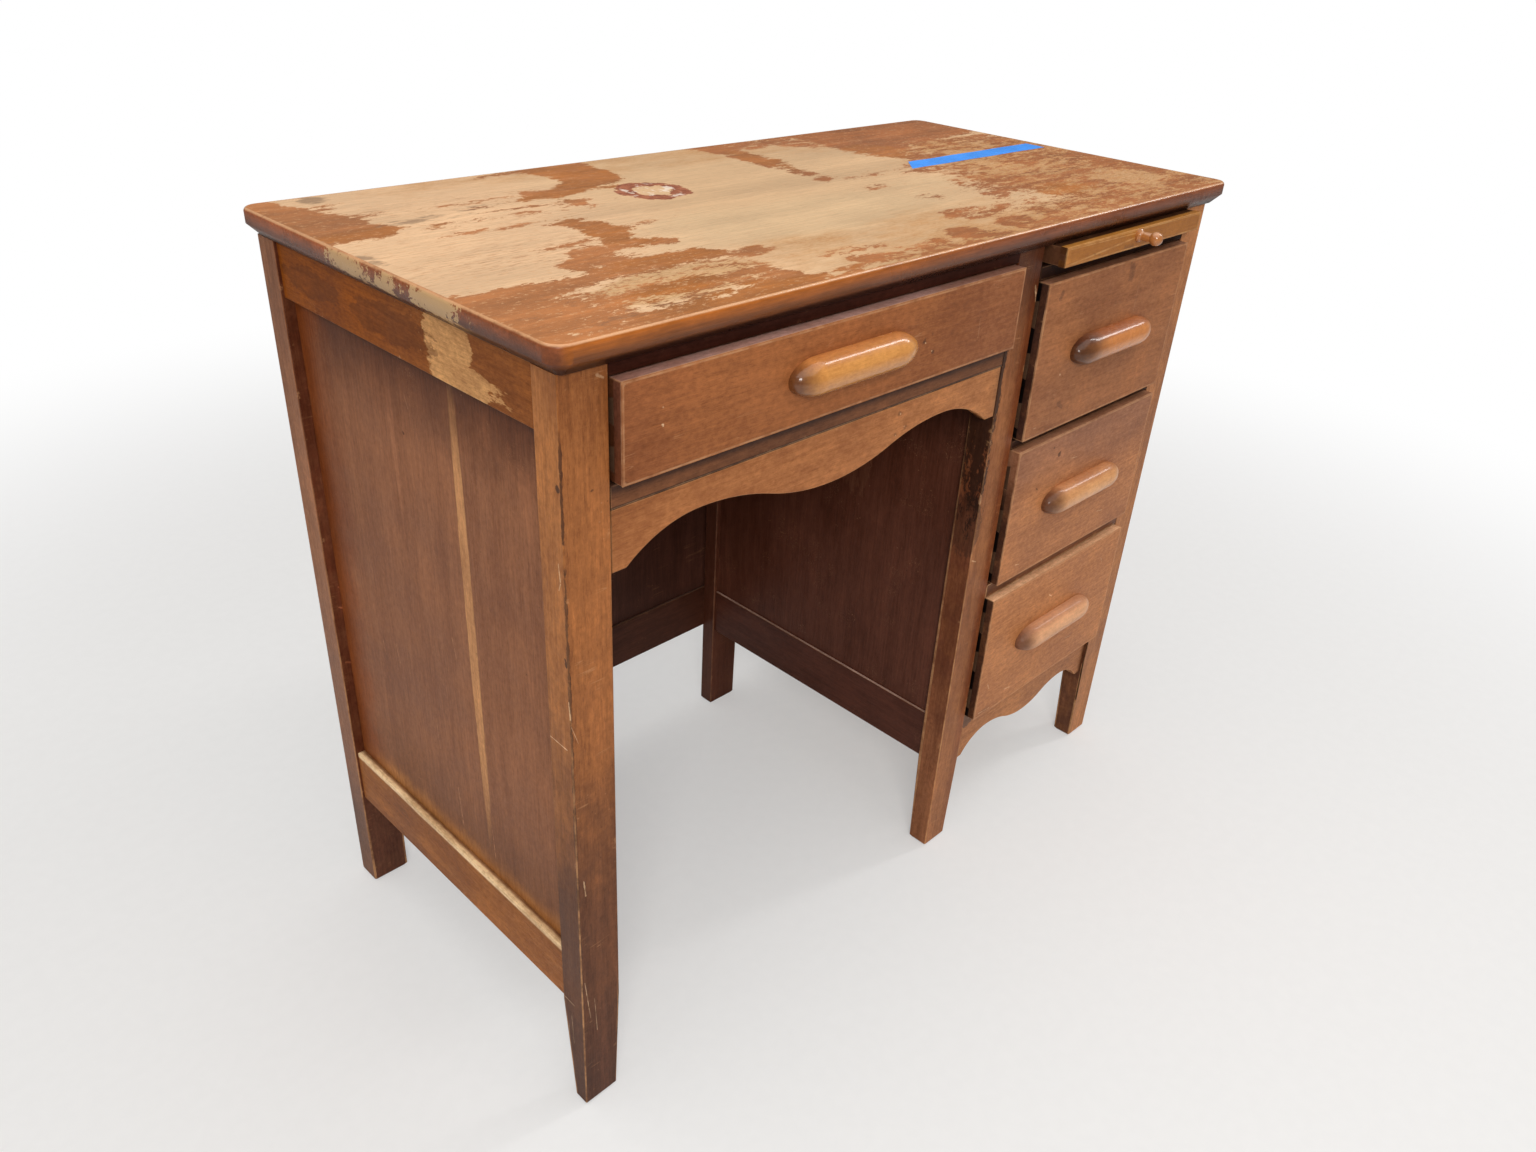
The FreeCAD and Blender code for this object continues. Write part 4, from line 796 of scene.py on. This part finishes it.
def makeTop():
    # plank cut into a fine net, so that each place on it can carry what is left of the varnish
    low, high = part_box("top")
    piece = looseCopy("top", "_worn")
    mesh = piece.data
    for face in mesh.polygons:
        face.select = face.normal.z > 0.99
    bpy.ops.object.mode_set(mode="EDIT")
    bpy.ops.mesh.select_mode(type="FACE")
    bpy.ops.mesh.hide(unselected=True)
    for axis, step in ((0, topLook["net"][0] / 1000), (1, topLook["net"][1] / 1000)):
        for cut in range(1, int((high[axis] - low[axis]) / step)):
            middle, across = [0, 0, 0], [0, 0, 0]
            middle[axis], across[axis] = low[axis] + cut * step, 1
            bpy.ops.mesh.select_all(action="SELECT")
            bpy.ops.mesh.bisect(plane_co=middle, plane_no=across, threshold=0.00001)
    bpy.ops.mesh.reveal()
    bpy.ops.object.mode_set(mode="OBJECT")
    places = [((vertex.co.x - low.x) * 1000, (vertex.co.y - low.y) * 1000) for vertex in mesh.vertices]
    for name in ("held", "gone", "dirty", "amber", "yellow", "olive", "flecked", "glaze"):
        layer = mesh.attributes.new(name, "FLOAT", "POINT")
        for index, (x, y) in enumerate(places):
            if name == "held":
                depth = max(min(thick, outlineDepth(outline, x, y)) for thick, outline in topLook["held"])
                depth = max(depth, blobDepth(topLook["bits"], x, y))
            else:
                depth = blobDepth(topLook[name], x, y)
            layer.data[index].value = depth
    for vertex in mesh.vertices:
        if vertex.co.z > high.z - hair:
            vertex.co.z -= sunk
    standFor(piece, "top")


def topMaterial():
    g, look = Graph("worn_plank_top"), topLook
    low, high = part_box("top")
    local = g.inMillimetres(low)
    x, y, z = g.split(local)
    thick = (high.z - low.z) * 1000
    flat = g.vector("MULTIPLY", local, (1, 1, 0))
    shakes = []
    for part, scale, detail in ((0.45, 0.016, 4), (0.42, 0.1, 5), (0.34, 0.5, 5)):
        shakes.append(g.minus(g.noise(g.vector("MULTIPLY", flat, (part, 1, 1)), scale, detail, 0.62, 0.3), 0.5))
    streak = g.noise(grainSpace(g, 14, 9, 90, "x"), 1, 4, 0.65)
    fibres = g.noise(grainSpace(g, 6, 12, 420, "x"), 1, 4, 0.72)
    pores = g.noise(grainSpace(g, 7, 110, 1300, "x"), 1, 2, 0.5)

    # bare wood with fine grain from left to right
    waves = g.vector("MULTIPLY", g.noise(g.place, 4, 2, colour=True), (0.7, 0.7, 0.7))
    broad = g.noise(g.vector("ADD", grainSpace(g, 5, 1.2, 22, "x"), waves), 1, 4, 0.6, 0.6)
    cloud = g.noise(g.vector("MULTIPLY", g.place, (1, 1.6, 1)), 7, 4, 0.65)
    middle = g.times(g.step(x, 180, 340), g.step(x, 900, 500, 0.4, 1))
    bare = g.mix(middle, look["bare"], look["bareMiddle"])
    bare = g.mix(g.times(g.step(g.attribute("yellow"), -16, 24), 0.7), bare, look["yellowTint"])
    flecks = g.noise(grainSpace(g, 12, 60, 420, "x"), 1, 3, 0.7)
    flecked = g.plus(shakes[1], 60, g.attribute("flecked"))
    flecked = g.times(g.step(flecked, -10, 22, 0.16, 0.66), g.step(flecks, 0.5, 0.66))
    bare = g.mix(flecked, bare, look["fleck"])
    tone = g.times(g.step(broad, 0.3, 0.7, 0.92, 1.06), g.step(fibres, 0.3, 0.7, 0.9, 1.07))
    tone = g.times(tone, g.step(cloud, 0.3, 0.7, 0.94, 1.05))
    tone = g.times(tone, g.step(pores, 0.58, 0.72, 1, 0.82))
    bare = g.scaled(bare, tone)
    olive = g.attribute("olive")
    wild = g.most(g.step(x, 440, 640), g.step(olive, -10, 8, 0, 0.8))  # where the varnish flakes finely
    olive = g.step(g.plus(shakes[1], 40, olive), -4, 10)
    bare = g.mix(g.times(olive, g.step(shakes[2], -0.12, 0.12, 0.6, 0.95)), bare, g.scaled(look["oliveTint"], tone))

    # soft brown glaze that wore thin
    glaze = g.plus(shakes[0], 110, g.plus(shakes[1], 60, g.attribute("glaze")))
    glaze = g.times(g.step(glaze, -26, 36), g.step(shakes[2], 0.12, -0.14, 0.5, 1.1))
    bare = g.mix(g.times(glaze, 0.88), bare, g.scaled(look["thin"], g.step(streak, 0.3, 0.7, 0.9, 1.1)))

    # what is left of the varnish
    held, gone = g.attribute("held"), g.attribute("gone")
    held = g.least(held, g.times(gone, -1))
    held = g.plus(shakes[0], 22, held)
    held = g.plus(shakes[1], g.step(wild, 0, 1, 30, 58), held)
    held = g.plus(shakes[2], g.step(wild, 0, 1, 20, 50), held)
    soft = g.step(wild, 0, 1, 0.5, 3)
    varnish = g.step(held, g.times(soft, -1), soft)
    blot = g.noise(g.vector("MULTIPLY", g.place, (0.5, 1, 1)), 24, 6, 0.75)
    film = g.mix(g.step(x, 200, 620), look["left"], look["right"])
    amber = g.plus(shakes[1], 40, g.attribute("amber"))
    film = g.mix(g.step(amber, -6, 6), film, look["amberTint"])
    tone = g.times(g.step(blot, 0.28, 0.72, 0.76, 1.18), g.step(fibres, 0.3, 0.7, 0.92, 1.08))
    tone = g.times(tone, g.step(streak, 0.3, 0.72, 0.86, 1.15))
    film = g.scaled(film, tone)
    colour = g.mix(g.times(varnish, g.step(streak, 0.6, 0.75, 0.95, 0.7)), bare, film)
    chips = g.noise(g.vector("MULTIPLY", flat, (0.5, 1, 1)), 0.26, 5, 0.7)
    chips = g.times(g.step(chips, 0.565, 0.62), g.most(g.step(x, 380, 140, 0.2, 0.56), g.times(wild, 0.6)))
    colour = g.mix(chips, colour, look["chip"])

    # smudges and the stain a wet cup left
    dirty = g.plus(shakes[2], 10, g.plus(shakes[1], 24, g.attribute("dirty")))
    colour = g.mix(g.times(g.step(dirty, -1, 6), 0.62), colour, look["dirt"])
    ring = look["ring"]
    around = g.vector("LENGTH", g.vector("SUBTRACT", flat, (ring["x"], ring["y"], 0)))
    shake = g.noise(flat, 0.09, 4, 0.7)
    broken = g.noise(flat, 0.04, 2, 0.5)
    band = g.gap(around, ring["radius"])
    band = g.plus(g.minus(shake, 0.5), 24, band)
    band = g.plus(g.minus(broken, 0.42), 22, band)
    stain = g.times(g.step(band, ring["wide"] + 2.6, ring["wide"] + 0.6), g.step(around, 39, 37))
    red = g.mix(g.step(shake, 0.4, 0.6), look["ringRed"], look["ringBrown"])
    colour = g.mix(g.times(stain, 0.92), colour, red)
    white = g.noise(g.vector("MULTIPLY", flat, (1.4, 0.8, 1)), 0.06, 3, 0.6)
    white = g.times(g.step(white, 0.54, 0.6), g.step(around, 34, 28))
    colour = g.mix(g.times(white, 0.75), colour, look["ringWhite"])

    # seam between two boards
    seam = g.step(g.gap(y, look["seam"]), 0.5, 0.15)
    colour = g.mix(g.times(seam, g.step(x, 150, 260, 0.1, 0.32)), colour, look["dirt"])

    # moulded edge: brown, with painted shade on the under-bevel and towards the bottom, worn bright on the arris with
    # a painted highlight
    up = g.split(g.facing)[2]
    side = g.step(up, 0.93, 0.6)
    # the under-bevel goes dark: painted shade
    under = g.times(g.step(up, -0.15, -0.5), g.step(g.plus(shakes[1], 6, z), 9.5, 3.5, 0.35, 1))
    rub = g.noise(g.vector("MULTIPLY", g.place, (0.6, 1, 2.5)), 34, 5, 0.7)
    nose = g.mix(g.times(g.step(x, 560, 220), g.step(x, 4, 12)), look["nose"], look["noseLeft"])
    nose = g.scaled(nose, g.times(g.step(rub, 0.32, 0.7, 0.8, 1.18), g.step(fibres, 0.3, 0.7, 0.82, 1.16)))
    # darker towards the bottom of the edge: painted shade
    nose = g.scaled(nose, g.times(g.step(z, 9, 22, 0.66, 1.12), g.step(y, 140, 320, 0.9, 1.14)))
    nose = g.mix(under, nose, look["noseUnderShade"])
    spots = [(0, 262, thick - 9, 8, 28, 13, 7), (0, 205, thick - 9, 8, 12, 8, 0), (0, 141, thick - 8, 8, 32, 14, 7)]
    cream = g.step(g.patches(local, spots, (16, 20, 14), 4.0), -0.7, 0.7)
    nose = g.mix(g.times(cream, 0.9), nose, look["cream"])
    colour = g.mix(side, colour, nose)
    # arris worn bright, with a painted highlight
    arris = g.times(g.step(up, 0.998, 0.95), g.step(up, 0.4, 0.75))
    colour = g.mix(g.times(arris, g.step(rub, 0.3, 0.55, 0.12, 0.85)), colour, look["arris"])

    rough = g.plus(varnish, -0.12, g.step(cloud, 0.25, 0.75, 0.5, 0.6))
    rough = g.plus(side, -0.14, rough)
    g.fill(g.shader, {
        "Base Color": colour, "Roughness": rough, "Normal": g.bump(g.plus(pores, -0.6, fibres), 0.0004, 0.5),
        "Specular IOR Level": 0.2, "Coat Weight": g.times(arris, 0.9), "Coat Roughness": 0.18,
    })
    return g.material


makeTop()
dress("top", topMaterial())
print("plank top finished")


# strip of masking tape on the top

tape = {"left": 650, "right": 905, "low": 236, "wide": 27, "thick": 0.16, "slant": 26, "colour": paint(66, 152, 252)}


def makeTape():
    # thin closed strip that hangs over no edge; its torn ends wave a little
    low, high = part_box("top")
    level = high.z - sunk
    start, end = low.x + tape["left"] / 1000, low.x + tape["right"] / 1000
    front = low.y + tape["low"] / 1000
    wide, thick = tape["wide"] / 1000, tape["thick"] / 1000
    bpy.ops.object.select_all(action="DESELECT")
    bpy.ops.mesh.primitive_grid_add(x_subdivisions=90, y_subdivisions=8, size=1, location=(0, 0, 0))
    strip = bpy.context.object
    strip.name = "tape_strip"
    for vertex in strip.data.vertices:
        u, v = vertex.co.x + 0.5, vertex.co.y + 0.5
        x = start + u * (end - start) + (1 - u) ** 6 * v * tape["slant"] / 1000
        x += 0.0006 * math.sin(v * 37) * (u > 0.99) + 0.0008 * math.sin(v * 23) * (u < 0.01)
        y = front + v * wide - 0.003 * u + 0.0004 * math.sin(u * 19)
        lift = 0.00001 * (1 + math.sin(u * 61 + v * 2))
        vertex.co = (x, y, level + 0.00001 + lift)
    bpy.ops.object.mode_set(mode="EDIT")
    bpy.ops.mesh.select_all(action="SELECT")
    bpy.ops.mesh.extrude_region_move(TRANSFORM_OT_translate={"value": (0, 0, thick - 0.00002)})
    bpy.ops.mesh.select_all(action="SELECT")
    bpy.ops.mesh.normals_make_consistent(inside=False)
    bpy.ops.object.mode_set(mode="OBJECT")
    g = Graph("masking_tape")
    crepe = g.noise(g.vector("MULTIPLY", g.place, (900, 160, 1)), 1, 3, 0.6)
    cloud = g.noise(g.place, 30, 4, 0.6)
    colour = g.scaled(tape["colour"], g.step(cloud, 0.3, 0.7, 0.9, 1.12))
    colour = g.mix(g.step(crepe, 0.35, 0.75), g.scaled(colour, 0.9), g.scaled(colour, 1.1))
    g.fill(g.shader, {"Base Color": colour, "Roughness": 0.55, "Specular IOR Level": 0.35,
                      "Normal": g.bump(crepe, 0.0003, 0.6)})
    strip.data.materials.append(g.material)
    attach(strip, "carcass")
    print("tape laid")


makeTape()


# floor, light and camera

def makeFloor():
    # pale disc that takes the shadow and is plain white to the camera further out
    bpy.ops.object.select_all(action="DESELECT")
    bpy.ops.mesh.primitive_circle_add(vertices=96, radius=9, fill_type="NGON", location=(0, 0, 0))
    floor = bpy.context.object
    floor.name = "floor"
    g = Graph("pale_floor")
    away = g.vector("LENGTH", g.place)
    speck = g.noise(g.place, 60, 3, 0.6)
    g.fill(g.shader, {"Base Color": g.scaled(paint(236, 236, 236), g.step(speck, 0.3, 0.7, 0.98, 1.0)),
                      "Roughness": 0.9, "Specular IOR Level": 0.1})
    white = g.add("Emission")
    seen = g.add("LightPath").outputs["Is Camera Ray"]
    blend = g.add("MixShader")
    g.feed(blend.inputs[0], g.times(seen, g.step(away, 0.9, 2.2, 0.35, 1)))
    g.feed(blend.inputs[1], g.shader.outputs[0])
    g.feed(blend.inputs[2], white.outputs[0])
    g.feed(g.output.inputs["Surface"], blend.outputs[0])
    floor.data.materials.append(g.material)


def makeWorld(strength):
    # soft light all round, and plain white behind the object
    world = bpy.data.worlds.new("studio")
    bpy.context.scene.world = world
    world.use_nodes = True
    tree = world.node_tree
    tree.nodes.clear()
    output = tree.nodes.new("ShaderNodeOutputWorld")
    path = tree.nodes.new("ShaderNodeLightPath")
    blend = tree.nodes.new("ShaderNodeMixShader")
    tree.links.new(path.outputs["Is Camera Ray"], blend.inputs[0])
    for socket, colour, power in ((blend.inputs[1], (1.0, 0.98, 0.95, 1), strength),
            (blend.inputs[2], (1, 1, 1, 1), 1)):
        glow = tree.nodes.new("ShaderNodeBackground")
        glow.inputs["Color"].default_value = colour
        glow.inputs["Strength"].default_value = power
        tree.links.new(glow.outputs[0], socket)
    tree.links.new(blend.outputs[0], output.inputs["Surface"])


def makeLamp(name, place, aim, size, power, tint):
    data = bpy.data.lights.new(name, "AREA")
    data.shape = "RECTANGLE"
    data.size, data.size_y = size
    data.energy = power
    data.color = tint
    lamp = bpy.data.objects.new(name, data)
    bpy.context.scene.collection.objects.link(lamp)
    lamp.location = place
    lamp.rotation_euler = (Vector(aim) - Vector(place)).to_track_quat("-Z", "Y").to_euler()


lamps = {
    # place, what it shines at, size in m, watts and colour
    "ceiling": ((-0.3, -0.3, 2.7), (0, 0, 0.4), (4.0, 3.2), 51, (1.0, 0.98, 0.95)),
    "front": ((-2.1, -2.2, 2.3), (0, 0, 0.4), (1.0, 0.9), 46, (1.0, 0.97, 0.93)),
    "ridge": ((2.5, -0.86, 2.5), (0, -0.2, 0.6), (0.3, 1.5), 16, (1.0, 0.98, 0.97)),
}
# place in m, turns in degrees, focal length in mm
camera = {"place": (-0.8661, -0.7762, 1.0089), "pitch": 30.28, "turn": 47.012, "roll": 3.474, "lens": 27.212}


def makeCamera():
    data = bpy.data.cameras.new("camera")
    data.sensor_fit = "HORIZONTAL"
    data.lens = camera["lens"]
    data.clip_start = 0.02
    eye = bpy.data.objects.new("camera", data)
    bpy.context.scene.collection.objects.link(eye)
    turn = Matrix.Rotation(math.radians(-camera["turn"]), 4, "Z")
    pitch = Matrix.Rotation(math.radians(90 - camera["pitch"]), 4, "X")
    roll = Matrix.Rotation(math.radians(camera["roll"]), 4, "Z")
    eye.matrix_world = Matrix.Translation(camera["place"]) @ turn @ pitch @ roll
    bpy.context.scene.camera = eye


makeFloor()
makeWorld(0.27)
for name, settings in lamps.items():
    makeLamp(name, *settings)
makeCamera()
bpy.context.scene.view_settings.view_transform = "Standard"
print("stage set")
